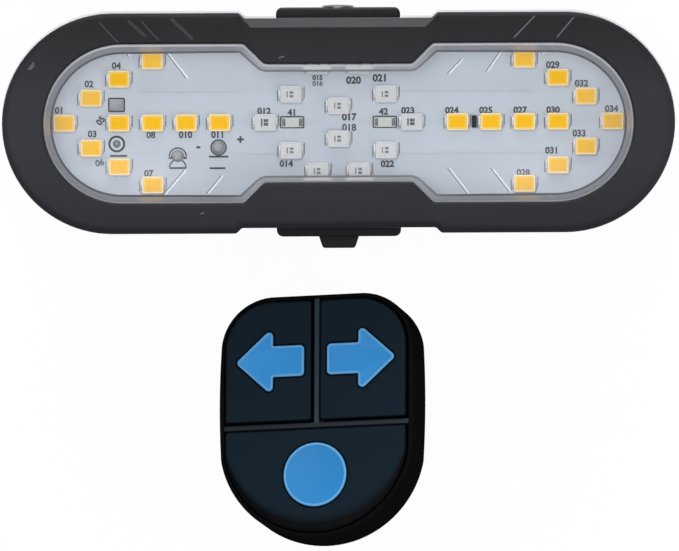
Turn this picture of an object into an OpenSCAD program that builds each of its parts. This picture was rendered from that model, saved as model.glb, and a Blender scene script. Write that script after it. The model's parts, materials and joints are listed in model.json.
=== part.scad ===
// Bicycle turn signal light with its wireless handlebar remote, in millimetres.
// The pair lies on a table at z = 0, lens and keys up (+Z), lamp toward +Y, remote toward -Y.
// Every level of the lamp is stacked from its rear saddle; the remote is built flat and then tilted.

/* [Lamp front] */
// Length of the lamp across the front
lamp_l = 110; // [106:1:124]
// Height of the lamp across the front
lamp_w = 36; // [35:0.5:40]
// Flat length of the indent in the middle of the long edges
notch_l = 30.7; // [28:0.1:34]
// Depth of that indent
notch_d = 0.9; // [0.5:0.1:1.2]
// Bezel width at the two round ends
bezel_end = 6.7; // [6.2:0.1:7.4]
// Bezel width along the long edges
bezel_side = 4.95; // [4.6:0.05:5.4]
// Thickness of the bezel
bezel_h = 4.5; // [4:0.1:6]
// Width of the sloped edge along the upper indent
slope_w = 1.4; // [1:0.1:1.8]
// Flat length of the narrow middle of the window
throat_l = 24.2; // [20:0.2:27]
// Height of the narrow middle of the window
throat_w = 19.4; // [17:0.2:22]
// Thickness of the lens flange clamped under the bezel
flange_t = 2; // [1.6:0.1:2.5]
// How far the lens face stands out of the bezel
lens_rise = 0.8; // [0.4:0.1:1.5]

/* [Lamp body] */
// Depth of the rear housing
housing_h = 11.2; // [11:0.1:14]
// Wall thickness of the rear housing
wall = 1.8; // [1.6:0.1:2.2]
// Thickness of the lamp circuit board
board_t = 1.6; // [1:0.1:1.6]

/* [Seat post saddle] */
// Seat post diameter
post_d = 27.2; // [25.4:0.1:31.8]
// Length of the saddle along the post
saddle_l = 28; // [22:1:32]
// Half angle of the post that the saddle wraps
wrap = 62; // [58:1:66]

/* [Lights] */
// Package length of a light emitter
led_l = 3.5; // [3.2:0.1:3.8]
// Package width of a light emitter
led_w = 2.8; // [2.4:0.1:3]
// Package height of a light emitter
led_h = 0.9; // [0.7:0.05:0.95]
// Spacing of the emitters in an arrow shaft
led_pitch = 5.5; // [4.8:0.1:5.8]

/* [Battery] */
// Length of the lamp's cell
battery_l = 38; // [30:1:40]
// Thickness of the lamp's cell
battery_h = 6.2; // [5:0.1:6.4]

/* [Power key and port cover] */
// Length of the rubber pad and of the port cover
pad_l = 20.4; // [16:0.2:24]
// How far the rubber pad stands out of the housing
pad_t = 1.8; // [1.4:0.1:2.2]
// Diameter of the power key
key_d = 5.4; // [4.6:0.1:6]
// How far the power key stands out of its pad
key_out = 0.45; // [0.4:0.05:0.8]
// Travel of the power key
key_travel = 0.35; // [0.25:0.05:0.4]
// Thickness of the port cover
cover_t = 1.9; // [1.6:0.05:2.2]
// Length of the port cover's pull tab
tab_out = 2; // [1.5:0.1:3]

/* [Remote] */
// Width of the remote
remote_w = 32.8; // [32:0.1:36]
// Length of the remote
remote_l = 40.9; // [39:0.1:43]
// Depth of the remote from its back to the key faces
remote_h = 10.4; // [10:0.1:12]
// Gap between neighbouring keys
key_gap = 1.3; // [1.1:0.05:1.6]
// Height of the gap between the arrow keys and the round key's half
split_y = -1.5; // [-2.5:0.05:-1.2]
// Travel of the remote keys
press = 0.4; // [0.3:0.05:0.45]
// Diameter of the round symbol
disc_d = 10.7; // [8:0.1:12]

/* [Handlebar base] */
// Angle that raises the end near the rider
pitch = 15.35; // [13:0.05:18]
// Angle that raises the right side
roll = 14.3; // [12:0.1:16]
// Turn of the remote about its face
spin = -0.5; // [-2:0.1:0]
// Margin of the base inside the remote's outline
base_inset = 5.6; // [5.4:0.1:6.2]
// Width of the strap slot
slot_w = 12; // [8:0.5:12]
// Height of the strap slot
slot_h = 4.4; // [4.2:0.1:4.6]

/* [Layout on the table] */
// Lamp centre along Y
lamp_y = 25.85; // [25:0.05:32]
// Remote centre along X
remote_x = -1.45; // [-10:0.05:10]
// Remote centre along Y
remote_y = -25.15; // [-32:0.05:-25]

/* [Hidden] */
round_fn = 96;
cut = 1;
tan_225 = tan(22.5);

// Levels of the lamp, from the table up
post_play = 0.1;
groove_r = post_d / 2 + post_play;
groove_depth = groove_r * (1 - cos(wrap));
saddle_web = 1.6;
saddle_land = 3.4;
saddle_w = 2 * groove_r * sin(wrap) + 2 * saddle_land;
recess_margin = 2;
recess_d = 0.6;
z_rear = groove_depth + saddle_web;
floor_t = 2;
z_floor = z_rear + floor_t;
z_rim = z_rear + housing_h;
gasket_t = 0.8;
z_flange = z_rim + gasket_t;
z_bezel = z_flange + flange_t;
z_front = z_bezel + bezel_h;
z_lens = z_front + lens_rise;
board_drop = 1;
board_z1 = z_flange - board_drop;
board_z0 = board_z1 - board_t;

// Gap from each end of the bezel's sloped edge to the indent's corner
slope_end = 0.15;

// Lens, gasket and housing outlines, as insets from the front outline
lens_lip = 0.15;
lens_gap = 0.1;
lens_wall = 1.2;
lens_skin = 1.8;
housing_inset = 0.3;
window_l = lamp_l - 2 * bezel_end;
window_w = lamp_w - 2 * bezel_side;
cavity_inset = lens_gap + lens_wall;

// Housing screws and the posts that carry them
screw_r = 0.95;
pilot_r = 1;
pilot_depth = 3.2;
clear_r = 1.1;
head_r = 1.6;
head_h = 1.3;
head_bore_r = 1.75;
head_bore_d = 1.6;
post_r = 1.7;
screw_tip = 2.8;
side_screw_back = 3;
side_screw_edge = 2.7;
end_screw_edge = 3.3;
side_screw_x = (lamp_l - lamp_w) / 2 - side_screw_back;
side_screw_y = lamp_w / 2 - side_screw_edge;
end_screw_x = lamp_l / 2 - end_screw_edge;
screw_spots = [
    [side_screw_x, side_screw_y],
    [-side_screw_x, side_screw_y],
    [side_screw_x, -side_screw_y],
    [-side_screw_x, -side_screw_y],
    [end_screw_x, 0],
    [-end_screw_x, 0]
];

// Circuit board, its supports and the lens ribs that hold it down
board_play = 0.2;
board_l = 2 * (end_screw_x - post_r - board_play);
board_w = 2 * (side_screw_y - post_r - board_play);
support_r = 2;
support_back = 24;
support_edge = 3.2;
support_x = lamp_l / 2 - support_back;
support_y = board_w / 2 - support_edge;
rib_x0 = 20;
rib_l = 6;
rib_gap = 0.3;
rib_edge = 0.1;
rib_y0 = window_w / 2 - cavity_inset + rib_gap;
rib_y1 = board_w / 2 - rib_edge;

// Light emitters: arrow tip, head and shaft on each side, ring of brake lights in the middle
row_y = -0.05;
tip_margin = 10;
tip_x = lamp_l / 2 - tip_margin;
head_margin = 3.2;
head_rise = board_w / 2 - head_margin;
head_run_1 = 4.4;
head_run_2 = 9;
head_run_3 = 14.5;
head_share_1 = 0.402;
head_share_2 = 0.706;
head_steps = [[head_run_1, head_share_1], [head_run_2, head_share_2], [head_run_3, 1]];
shaft_count = 4;
tail_x = tip_x - head_run_2 - (shaft_count - 1) * led_pitch;
arrow_spots = concat(
    [[tip_x, row_y]],
    [for (s = head_steps, m = [-1, 1]) [tip_x - s[0], row_y + m * s[1] * head_rise]],
    [for (i = [0:shaft_count - 1]) [tail_x + i * led_pitch, row_y]]
);
ring_gap = 7.5;
ring_x = tail_x - ring_gap;
ring_share_2 = 0.65;
ring_share_3 = 0.283;
ring_y_1 = 2.7;
ring_y_2 = 4.6;
ring_low = 8;
ring_high = 9.3;
brake_spots = concat(
    [for (m = [-1, 1]) [m * ring_x, row_y]],
    [for (m = [-1, 1]) [0, row_y + m * ring_y_1]],
    [for (m = [-1, 1], n = [-1, 1]) [m * ring_share_2 * ring_x, row_y + n * ring_y_2]],
    [for (m = [-1, 1], y = [-ring_low, ring_high]) [m * ring_share_3 * ring_x, row_y + y]]
);
cup_rim = 0.3;
cup_d = 0.3;
indicator_in = 4.4;
indicator_x = ring_x - indicator_in;
indicator_size = [3.2, 1.6, 0.6];
resistor_size = [0.8, 2, 0.5];
resistor_x = tail_x + led_pitch / 2;

// Terminals on the board face and leads behind it
joint_r = 1.4;
joint_h = 0.2;
antenna_pad = [2.8, 2.3, 0.2];
antenna_in = 8.6;
antenna_y = 2.9;
ground_y = -3.5;
antenna_spot = [antenna_in - tip_x, antenna_y];
ground_spot = [antenna_in - tip_x, ground_y];
joint_gap = 1.3;
plus_back = 0.2;
minus_back = 6.9;
minus_low = 1.35;
plus_spot = [-tail_x - plus_back, row_y - led_w / 2 - joint_gap - joint_r];
minus_spot = [-tail_x - minus_back, plus_spot[1] - minus_low];
lead_r = 0.6;
lead_bend = 1.5;

// Parts behind the board
lead_run = 7.7;
battery_r = 2;
battery_x = plus_spot[0] + lead_run + battery_l / 2;
battery_z1 = z_floor + battery_h;
lead_z = z_floor + battery_h / 2;
foam_margin = 3;
chip_size = [8.7, 3.9, 1];
chip_in = 15;
chip_x = lamp_l / 2 - chip_in;
receiver_size = [11, 7, 1.4];
receiver_in = 14;
receiver_x = receiver_in - lamp_l / 2;

// Long side walls of the rear housing at the indents
face_y = lamp_w / 2 - notch_d - housing_inset;

// Power key, its pad and its switch
pad_h = 7.8;
pad_round = 0.8;
pad_gap = 0.1;
key_z = z_rim - pad_h / 2 - pad_gap;
key_play = 0.2;
key_slack = 0.4;
key_lift = key_travel + key_slack;
key_y1 = face_y + pad_t + key_out;
dish_rim = 0.8;
dish_r = key_d / 2 - dish_rim;
dish_d = 0.4;
stem_r = 1.5;
stem_play = 0.08;
stem_in = 2.2;
stem_y = face_y - stem_in;
plunger_r = 1;
plunger_play = 0.05;
plunger_l = 2.2;
switch_in = 3.2;
switch_y1 = face_y - switch_in;
switch_size = [6.2, 3.6];
switch_low = 2.4;
switch_bore = 2;

// Charging port and its hinged cover
port_w = 8.94;
port_h = 3.2;
port_l = 7.3;
port_skin = 0.3;
port_r = 1.2;
port_wall_back = 1;
port_recess = 0.9;
port_z = board_z0 - port_h / 2;
port_play = 0.35;
tongue = [6.7, 4.8, 0.7];
cover_gap = 0.15;
bead_r = 0.8;
bead_play = 0.1;
bead_margin = 1.2;
hinge_drop = 3.8;
hinge_z = port_z - hinge_drop;
cover_lift = 0.15;
cover_z0 = hinge_z + cover_lift;
cover_top = 0.2;
cover_z1 = z_rim - cover_top;
plug_out = 0.85;
tab_w0 = 6.2;
tab_w1 = 5.2;
tab_h = 2.5;

// The lamp's cell fills the width between the charging socket and the power switch
battery_play = 1.3;
battery_y0 = port_recess + port_l - face_y + battery_play;
battery_y1 = switch_y1 - switch_size[1] - battery_play;
battery_w = battery_y1 - battery_y0;
battery_y = (battery_y0 + battery_y1) / 2;

// Strap hooks on the rear housing
hook_t = 3;
hook_l = 12;
hook_gap = 3;
hook_lip_t = 2;
hook_lip = 2.5;
hook_out = 3;
hook_x = saddle_w / 2 + hook_out;

// Remote outline: round top corners, straight sides, three arcs at the lower end
half_w = remote_w / 2;
corner_r = 9;
corner_x = half_w - corner_r;
corner_y = remote_l / 2 - corner_r;
side_r = 7.9;
side_drop = 14.65;
side_x = half_w - side_r;
side_y = side_drop - remote_l / 2;
low_r = (side_x * side_x + side_drop * side_drop - side_r * side_r) / (2 * (side_drop - side_r));
low_y = low_r - remote_l / 2;

// Remote levels, from its back plane up
shell_wall = 1.4;
cell_seat = 0.5;
cell_r = 10;
cell_h = 1.6;
cell_z0 = shell_wall + cell_seat;
cell_z1 = cell_z0 + cell_h;
clip_t = 0.3;
clip_h = 0.7;
rboard_t = 1;
rboard_z0 = cell_z1 + clip_t + clip_h;
rboard_z1 = rboard_z0 + rboard_t;
tact_h = 1.1;
tact_out = 0.6;
tact_top = rboard_z1 + tact_h + tact_out;
mat_t = 0.5;
mat_lift = 0.2;
mat_play = 0.05;
mat_slack = 0.2;
mat_z0 = tact_top + mat_lift;
key_z0 = mat_z0 + mat_t + press + mat_slack;
key_t = remote_h - key_z0;
key_proud = 0.4;
z_shell = remote_h - key_proud;
split_drop = 0.4;
split_z = rboard_z0 - split_drop;
rim_wall = 0.75;
key_side_play = 0.25;
key_inset = rim_wall + key_side_play;
bar_t = 0.9;
bar_gap = 0.1;
bar_sink = 0.2;
bar_z0 = mat_z0 + mat_t + bar_gap;
bar_z1 = z_shell - bar_sink;

// Remote keys, symbols and switches
arrow_key_x = 7.65;
arrow_key_y = 9.3;
mode_key_y = -9.95;
arrow_w = 11.4;
arrow_h = 10.4;
arrow_head = 6.1;
arrow_shaft = 5.2;
inlay_t = 0.7;
inlay_proud = 0.2;
inlay_play = 0.02;
tact_w = 5.2;
tact_r = 1.2;
tact_play = 0.05;
tact_sink = 0.3;
tact_slack = 0.15;
tact_bore = tact_sink + press + tact_slack;
stem_key_r = 1.7;
mat_hole_r = 2;

// Remote fixings, cell and parts on its board
boss_r = 2.2;
boss_in = 3.2;
boss_ys = [4.2, -6.5];
rpost_r = 2;
rscrew_r = 0.8;
rclear_r = 0.95;
rhead_r = 1.5;
rhead_h = 1.2;
rhead_bore_r = 1.7;
rhead_bore_d = 1.4;
cell_y = (boss_ys[0] + boss_ys[1]) / 2;
clip_w = 6;
clip_reach = 1.2;
clip_leg = 0.4;
seat_r = 6;
rchip_size = [4.9, 3.9, 1.2];
rchip_y = 2.5;

// Seat of the tilted remote: its lowest rim clears the table by rim_clear
rim_clear = 0.5;
fall_x = sin(roll) * cos(pitch);
fall_y = sin(pitch);
fall = sqrt(fall_x * fall_x + fall_y * fall_y);
seat_z = rim_clear + fall_x * corner_x + fall_y * corner_y + corner_r * fall;
slot_z = 0.9;
slot_y = -7;
far = 200;

// Shared shapes

module stadium(l, w) {
    square([l - w, w], center = true);
    for (s = [-1, 1]) {
        translate([s * (l - w) / 2, 0]) circle(d = w, $fn = round_fn);
    }
}

module rounded_rect(l, w, r) {
    square([l - 2 * r, w], center = true);
    square([l, w - 2 * r], center = true);
    for (x = [-1, 1], y = [-1, 1]) {
        translate([x * (l / 2 - r), y * (w / 2 - r)]) circle(r = r, $fn = round_fn);
    }
}

// Half of a trapezoid cut whose floor is fx from the middle at height fy, with 45 degree flanks
module flank_cut(fx, fy, rise) {
    polygon([[-fx, fy], [fx, fy], [fx + rise, fy + rise], [-fx - rise, fy + rise]]);
}

module lamp_outline(inset = 0) {
    floor_y = lamp_w / 2 - notch_d - inset;
    floor_x = notch_l / 2 + inset * tan_225;
    difference() {
        stadium(lamp_l - 2 * inset, lamp_w - 2 * inset);
        for (m = [0, 1]) {
            mirror([0, m]) flank_cut(floor_x, floor_y, notch_d + cut);
        }
    }
}

module window_outline(inset = 0) {
    throat_y = throat_w / 2 - inset;
    throat_x = throat_l / 2 + inset * tan_225;
    difference() {
        stadium(window_l - 2 * inset, window_w - 2 * inset);
        for (m = [0, 1]) {
            mirror([0, m]) flank_cut(throat_x, throat_y, (window_w - throat_w) / 2 + cut);
        }
    }
}

module remote_outline(inset = 0) {
    tip = 3 * low_r;
    reach = 3;
    for (s = [-1, 1]) {
        translate([s * corner_x, corner_y]) circle(r = corner_r - inset, $fn = round_fn);
        translate([s * side_x, side_y]) circle(r = side_r - inset, $fn = round_fn);
    }
    translate([-corner_x, side_y]) square([2 * corner_x, remote_l / 2 - inset - side_y]);
    translate([inset - half_w, side_y]) square([remote_w - 2 * inset, corner_y - side_y]);
    intersection() {
        translate([0, low_y]) circle(r = low_r - inset, $fn = round_fn);
        polygon([
            [0, low_y],
            [reach * side_x, low_y + reach * (side_y - low_y)],
            [reach * side_x, low_y - tip],
            [-reach * side_x, low_y - tip],
            [-reach * side_x, low_y + reach * (side_y - low_y)]
        ]);
    }
}

module at_lamp(z = 0) {
    translate([0, lamp_y, z]) children();
}

module at_remote() {
    translate([remote_x, remote_y, seat_z])
        rotate([-pitch, 0, 0])
            rotate([0, -roll, 0]) rotate([0, 0, spin]) children();
}

module along_y(r, y0, y1) {
    translate([0, y0, 0]) rotate([-90, 0, 0]) cylinder(r = r, h = y1 - y0, $fn = round_fn);
}

module along_x(r, l) {
    rotate([0, 90, 0]) cylinder(r = r, h = l, center = true, $fn = round_fn);
}

module disc(r, h) {
    cylinder(r = r, h = h, $fn = round_fn);
}

// Lamp shell

module rear_housing() {
    color([0.1, 0.1, 0.11]) at_lamp() difference() {
        union() {
            difference() {
                translate([0, 0, z_rear]) linear_extrude(housing_h) lamp_outline(housing_inset);
                translate([0, 0, z_floor])
                    linear_extrude(housing_h) lamp_outline(housing_inset + wall);
            }
            for (p = screw_spots) {
                translate([p[0], p[1], z_rear]) disc(post_r, housing_h);
            }
            for (x = [-1, 1], y = [-1, 1]) {
                translate([x * support_x, y * support_y, z_rear])
                    disc(support_r, board_z0 - z_rear);
            }
            for (m = [0, 1]) {
                mirror([m, 0, 0]) strap_hook();
            }
        }
        for (p = screw_spots) {
            translate([p[0], p[1], z_rear - cut]) disc(clear_r, housing_h + 2 * cut);
            translate([p[0], p[1], z_rear - cut]) disc(head_bore_r, head_bore_d + cut);
        }
        translate([0, 0, z_rear + recess_d / 2 - cut / 2])
            cube([saddle_w - 2 * recess_margin, saddle_l - 2 * recess_margin, recess_d + cut],
                center = true);
        translate([0, 0, key_z]) along_y(stem_r + stem_play, 0, face_y + cut);
        translate([0, -face_y, port_z])
            cube([port_w + 2 * port_play, 4 * wall, port_h + 2 * port_play], center = true);
        translate([0, -face_y, hinge_z])
            along_x(bead_r + bead_play, pad_l - 2 * bead_margin + 2 * bead_play);
    }
}

module strap_hook() {
    translate([hook_x, -hook_l / 2, z_rear - hook_gap - hook_lip_t])
        cube([hook_t, hook_l, hook_gap + hook_lip_t + floor_t]);
    translate([hook_x, -hook_l / 2, z_rear - hook_gap - hook_lip_t])
        cube([hook_t + hook_lip, hook_l, hook_lip_t]);
}

module bezel() {
    color([0.2, 0.2, 0.22]) at_lamp(z_bezel) difference() {
        linear_extrude(bezel_h) difference() {
            lamp_outline();
            window_outline();
        }
        for (p = screw_spots) {
            translate([p[0], p[1], -cut]) disc(pilot_r, pilot_depth + cut);
        }
        upper_slope();
    }
}

// Sloped cut along the bezel's upper indent, with mitred ends
module upper_slope() {
    edge_y = lamp_w / 2 - notch_d;
    in_y = edge_y - slope_w - cut;
    end_x = notch_l / 2 - slope_end;
    in_x = end_x - (slope_w + cut) * tan_225;
    out_x = end_x + cut * tan_225;
    intersection() {
        rotate([90, 0, 90]) linear_extrude(2 * notch_l, center = true)
            polygon([
                [in_y, bezel_h + cut],
                [edge_y + cut, bezel_h - slope_w - cut],
                [edge_y + cut, bezel_h + cut]
            ]);
        linear_extrude(bezel_h + cut)
            polygon([[-in_x, in_y], [in_x, in_y], [out_x, edge_y + cut], [-out_x, edge_y + cut]]);
    }
}

module lens() {
    color([0.85, 0.9, 0.95, 0.5]) at_lamp() difference() {
        union() {
            translate([0, 0, z_flange]) linear_extrude(flange_t) lamp_outline(-lens_lip);
            translate([0, 0, z_flange]) linear_extrude(z_lens - z_flange) window_outline(lens_gap);
            for (mx = [0, 1], my = [0, 1]) {
                mirror([mx, 0, 0]) mirror([0, my, 0])
                    translate([rib_x0, rib_y0, board_z1])
                        cube([rib_l, rib_y1 - rib_y0, board_drop + flange_t]);
            }
        }
        translate([0, 0, z_flange - cut])
            linear_extrude(z_lens - lens_skin - z_flange + cut) window_outline(cavity_inset);
        for (p = screw_spots) {
            translate([p[0], p[1], z_flange - cut]) disc(clear_r, flange_t + 2 * cut);
        }
    }
}

module lens_gasket() {
    color([0.3, 0.3, 0.32]) at_lamp(z_rim) linear_extrude(gasket_t) difference() {
        lamp_outline(housing_inset);
        lamp_outline(housing_inset + wall);
        for (p = screw_spots) {
            translate(p) circle(r = clear_r, $fn = round_fn);
        }
    }
}

module housing_screws() {
    color([0.6, 0.6, 0.62]) at_lamp() for (p = screw_spots) {
        translate([p[0], p[1], z_rear + head_bore_d - head_h]) disc(head_r, head_h);
        translate([p[0], p[1], z_rear + head_bore_d])
            disc(screw_r, z_bezel + screw_tip - z_rear - head_bore_d);
    }
}

module seatpost_saddle() {
    color([0.06, 0.06, 0.06]) at_lamp() difference() {
        union() {
            translate([-saddle_w / 2, -saddle_l / 2, 0]) cube([saddle_w, saddle_l, z_rear]);
            translate([recess_margin - saddle_w / 2, recess_margin - saddle_l / 2, 0])
                cube([saddle_w - 2 * recess_margin, saddle_l - 2 * recess_margin, z_rear + recess_d]);
        }
        translate([0, 0, groove_depth - groove_r]) along_y(groove_r, -saddle_l, saddle_l);
    }
}

// Lamp lights and circuit

module circuit_board() {
    color([0.9, 0.93, 0.95]) at_lamp(board_z0) linear_extrude(board_t) stadium(board_l, board_w);
}

module led_body(p) {
    translate([p[0], p[1], board_z1]) difference() {
        translate([-led_l / 2, -led_w / 2, 0]) cube([led_l, led_w, led_h]);
        translate([cup_rim - led_l / 2, cup_rim - led_w / 2, led_h - cup_d])
            cube([led_l - 2 * cup_rim, led_w - 2 * cup_rim, cup_d + cut]);
    }
}

module led_fill(p) {
    translate([p[0] + cup_rim - led_l / 2, p[1] + cup_rim - led_w / 2, board_z1 + led_h - cup_d])
        cube([led_l - 2 * cup_rim, led_w - 2 * cup_rim, cup_d]);
}

module right_signal_leds() {
    color([0.95, 0.9, 0.75]) at_lamp() for (p = arrow_spots) led_body(p);
}

module left_signal_leds() {
    color([0.95, 0.9, 0.75]) at_lamp() for (p = arrow_spots) led_body([-p[0], p[1]]);
}

module right_phosphors() {
    color([0.98, 0.7, 0.1]) at_lamp() for (p = arrow_spots) led_fill(p);
}

module left_phosphors() {
    color([0.98, 0.7, 0.1]) at_lamp() for (p = arrow_spots) led_fill([-p[0], p[1]]);
}

module brake_leds() {
    color([0.95, 0.95, 0.95]) at_lamp() for (p = brake_spots) led_body(p);
}

module brake_windows() {
    color([0.8, 0.85, 0.9]) at_lamp() for (p = brake_spots) led_fill(p);
}

module indicator_leds() {
    color([0.85, 0.85, 0.8]) at_lamp() for (s = [-1, 1]) {
        translate([s * indicator_x - indicator_size[0] / 2, row_y - indicator_size[1] / 2, board_z1])
            cube(indicator_size);
    }
}

module chip_resistor() {
    color([0.1, 0.1, 0.1]) at_lamp()
        translate([resistor_x - resistor_size[0] / 2, row_y - resistor_size[1] / 2, board_z1])
            cube(resistor_size);
}

module solder_joints() {
    color([0.7, 0.7, 0.7]) at_lamp(board_z1) {
        for (p = [ground_spot, plus_spot, minus_spot]) translate(p) disc(joint_r, joint_h);
        translate([antenna_spot[0] - antenna_pad[0] / 2, antenna_spot[1] - antenna_pad[1] / 2, 0])
            cube(antenna_pad);
    }
}

module control_chip() {
    color([0.12, 0.12, 0.12]) at_lamp(board_z0 - chip_size[2])
        translate([chip_x - chip_size[0] / 2, -chip_size[1] / 2, 0]) cube(chip_size);
}

module receiver_module() {
    color([0.1, 0.3, 0.2]) at_lamp(board_z0 - receiver_size[2])
        translate([receiver_x - receiver_size[0] / 2, -receiver_size[1] / 2, 0]) cube(receiver_size);
}

module battery_cell() {
    color([0.75, 0.76, 0.78]) at_lamp(z_floor) translate([battery_x, battery_y, 0])
        linear_extrude(battery_h) rounded_rect(battery_l, battery_w, battery_r);
}

module battery_foam() {
    color([0.2, 0.2, 0.2]) at_lamp(battery_z1)
        translate([battery_x - battery_l / 2 + foam_margin, battery_y0 + foam_margin, 0])
            cube([battery_l - 2 * foam_margin, battery_w - 2 * foam_margin, board_z0 - battery_z1]);
}

module battery_lead(p) {
    from_x = battery_x - battery_l / 2;
    translate([p[0] + lead_bend, p[1], lead_z]) rotate([0, 90, 0])
        disc(lead_r, from_x - p[0] - lead_bend);
    translate([p[0] + lead_bend, p[1], lead_z + lead_bend]) rotate([90, 0, 0]) rotate([0, 0, 180])
        rotate_extrude(angle = 90, $fn = round_fn)
            translate([lead_bend, 0]) circle(r = lead_r, $fn = round_fn);
    translate([p[0], p[1], lead_z + lead_bend]) disc(lead_r, board_z0 - lead_z - lead_bend);
}

module battery_lead_plus() {
    color([0.7, 0.1, 0.08]) at_lamp() battery_lead(plus_spot);
}

module battery_lead_minus() {
    color([0.08, 0.08, 0.08]) at_lamp() battery_lead(minus_spot);
}

// Power key

// Section of a rubber pad that stands out by t, with rounded outer corners
module pad_section(t) {
    translate([-pad_l / 2, 0]) square([pad_l, t - pad_round]);
    translate([pad_round - pad_l / 2, 0]) square([pad_l - 2 * pad_round, t]);
    for (s = [-1, 1]) {
        translate([s * (pad_l / 2 - pad_round), t - pad_round]) circle(r = pad_round, $fn = round_fn);
    }
}

module power_pad() {
    color([0.08, 0.08, 0.09]) at_lamp(key_z) difference() {
        translate([0, face_y, -pad_h / 2]) linear_extrude(pad_h) pad_section(pad_t);
        along_y(key_d / 2 + key_play, 0, face_y + pad_t + cut);
    }
}

module power_key() {
    color([0.1, 0.1, 0.11]) at_lamp(key_z) difference() {
        union() {
            along_y(key_d / 2, face_y + key_lift, key_y1);
            along_y(stem_r, stem_y, key_y1);
        }
        along_y(dish_r, key_y1 - dish_d, key_y1 + cut);
    }
}

module power_switch() {
    color([0.15, 0.15, 0.16]) at_lamp() difference() {
        translate([-switch_size[0] / 2, switch_y1 - switch_size[1], key_z - switch_low])
            cube([switch_size[0], switch_size[1], board_z0 - key_z + switch_low]);
        translate([0, 0, key_z]) along_y(plunger_r + plunger_play, switch_y1 - switch_bore, switch_y1 + cut);
    }
}

module power_plunger() {
    color([0.85, 0.83, 0.78]) at_lamp(key_z) along_y(plunger_r, stem_y - plunger_l, stem_y);
}

// Charging port

module port_section(inset) {
    rotate([90, 0, 0]) linear_extrude(port_l)
        rounded_rect(port_w - 2 * inset, port_h - 2 * inset, port_r - inset);
}

module usb_socket() {
    color([0.75, 0.75, 0.76]) at_lamp(port_z) translate([0, port_recess - face_y, 0]) difference() {
        translate([0, port_l, 0]) port_section(0);
        translate([0, port_l - port_wall_back, 0]) port_section(port_skin);
    }
}

module usb_tongue() {
    tongue_y1 = port_recess - face_y + port_l - port_wall_back;
    color([0.1, 0.1, 0.1]) at_lamp(port_z)
        translate([-tongue[0] / 2, tongue_y1 - tongue[1], -tongue[2] / 2]) cube(tongue);
}

module usb_cover() {
    outer_y = -face_y - cover_gap - cover_t;
    color([0.08, 0.08, 0.09]) at_lamp() {
        translate([0, -face_y - cover_gap, cover_z0]) linear_extrude(cover_z1 - cover_z0)
            mirror([0, 1]) pad_section(cover_t);
        translate([0, -face_y, hinge_z]) along_x(bead_r, pad_l - 2 * bead_margin);
        translate([-port_w / 2, -face_y - cover_gap, port_z - port_h / 2])
            cube([port_w, plug_out, port_h]);
        translate([0, outer_y, port_z - tab_h / 2]) linear_extrude(tab_h)
            polygon([
                [-tab_w0 / 2, 0],
                [-tab_w1 / 2, -tab_out],
                [tab_w1 / 2, -tab_out],
                [tab_w0 / 2, 0]
            ]);
    }
}

// Remote shells

module boss_spots() {
    for (s = [-1, 1], y = boss_ys) {
        translate([s * (half_w - boss_in), y, 0]) children();
    }
}

module remote_upper_shell() {
    color([0.07, 0.09, 0.11]) at_remote() difference() {
        union() {
            translate([0, 0, split_z]) linear_extrude(z_shell - split_z) difference() {
                remote_outline();
                remote_outline(rim_wall);
            }
            translate([0, 0, split_z]) linear_extrude(mat_z0 - split_z) difference() {
                remote_outline(rim_wall / 2);
                remote_outline(shell_wall);
            }
            translate([0, 0, rboard_z1]) boss_spots() disc(rpost_r, mat_z0 - rboard_z1);
            translate([rim_wall / 2 - half_w, split_y - bar_t / 2, bar_z0])
                cube([remote_w - rim_wall, bar_t, bar_z1 - bar_z0]);
            translate([-bar_t / 2, split_y, bar_z0])
                cube([bar_t, remote_l / 2 - rim_wall / 2 - split_y, bar_z1 - bar_z0]);
        }
        translate([0, 0, rboard_z1 - cut])
            boss_spots() disc(rclear_r, mat_z0 - rboard_z1 - clip_leg + cut);
    }
}

module remote_lower_shell() {
    color([0.05, 0.05, 0.05]) at_remote() difference() {
        union() {
            difference() {
                linear_extrude(split_z) remote_outline();
                translate([0, 0, shell_wall]) linear_extrude(split_z) remote_outline(shell_wall);
            }
            boss_spots() disc(boss_r, rboard_z0);
            translate([0, cell_y, 0]) disc(seat_r, cell_z0);
        }
        translate([0, 0, -cut]) boss_spots() disc(rclear_r, rboard_z0 + 2 * cut);
        translate([0, 0, -cut]) boss_spots() disc(rhead_bore_r, rhead_bore_d + cut);
        translate([0, 0, split_z]) linear_extrude(rboard_z0) difference() {
            remote_outline(-cut);
            remote_outline(shell_wall + board_play);
        }
    }
}

module key_mat() {
    color([0.2, 0.2, 0.22]) at_remote() translate([0, 0, mat_z0]) linear_extrude(mat_t) difference() {
        remote_outline(rim_wall + mat_play);
        for (s = [-1, 1]) {
            translate([s * arrow_key_x, arrow_key_y]) circle(r = mat_hole_r, $fn = round_fn);
        }
        translate([0, mode_key_y]) circle(r = mat_hole_r, $fn = round_fn);
    }
}

module remote_screws() {
    color([0.6, 0.6, 0.62]) at_remote() boss_spots() {
        translate([0, 0, rhead_bore_d - rhead_h]) disc(rhead_r, rhead_h);
        translate([0, 0, rhead_bore_d]) disc(rscrew_r, mat_z0 - 2 * clip_leg - rhead_bore_d);
    }
}

// Remote keys

module arrow_shape() {
    shaft_x = arrow_head - arrow_w / 2;
    polygon([
        [-arrow_w / 2, 0],
        [shaft_x, arrow_h / 2],
        [shaft_x, arrow_shaft / 2],
        [arrow_w / 2, arrow_shaft / 2],
        [arrow_w / 2, -arrow_shaft / 2],
        [shaft_x, -arrow_shaft / 2],
        [shaft_x, -arrow_h / 2]
    ]);
}

module left_cap() {
    intersection() {
        remote_outline(key_inset);
        translate([-far - key_gap / 2, split_y + key_gap / 2]) square(far);
    }
}

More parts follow.
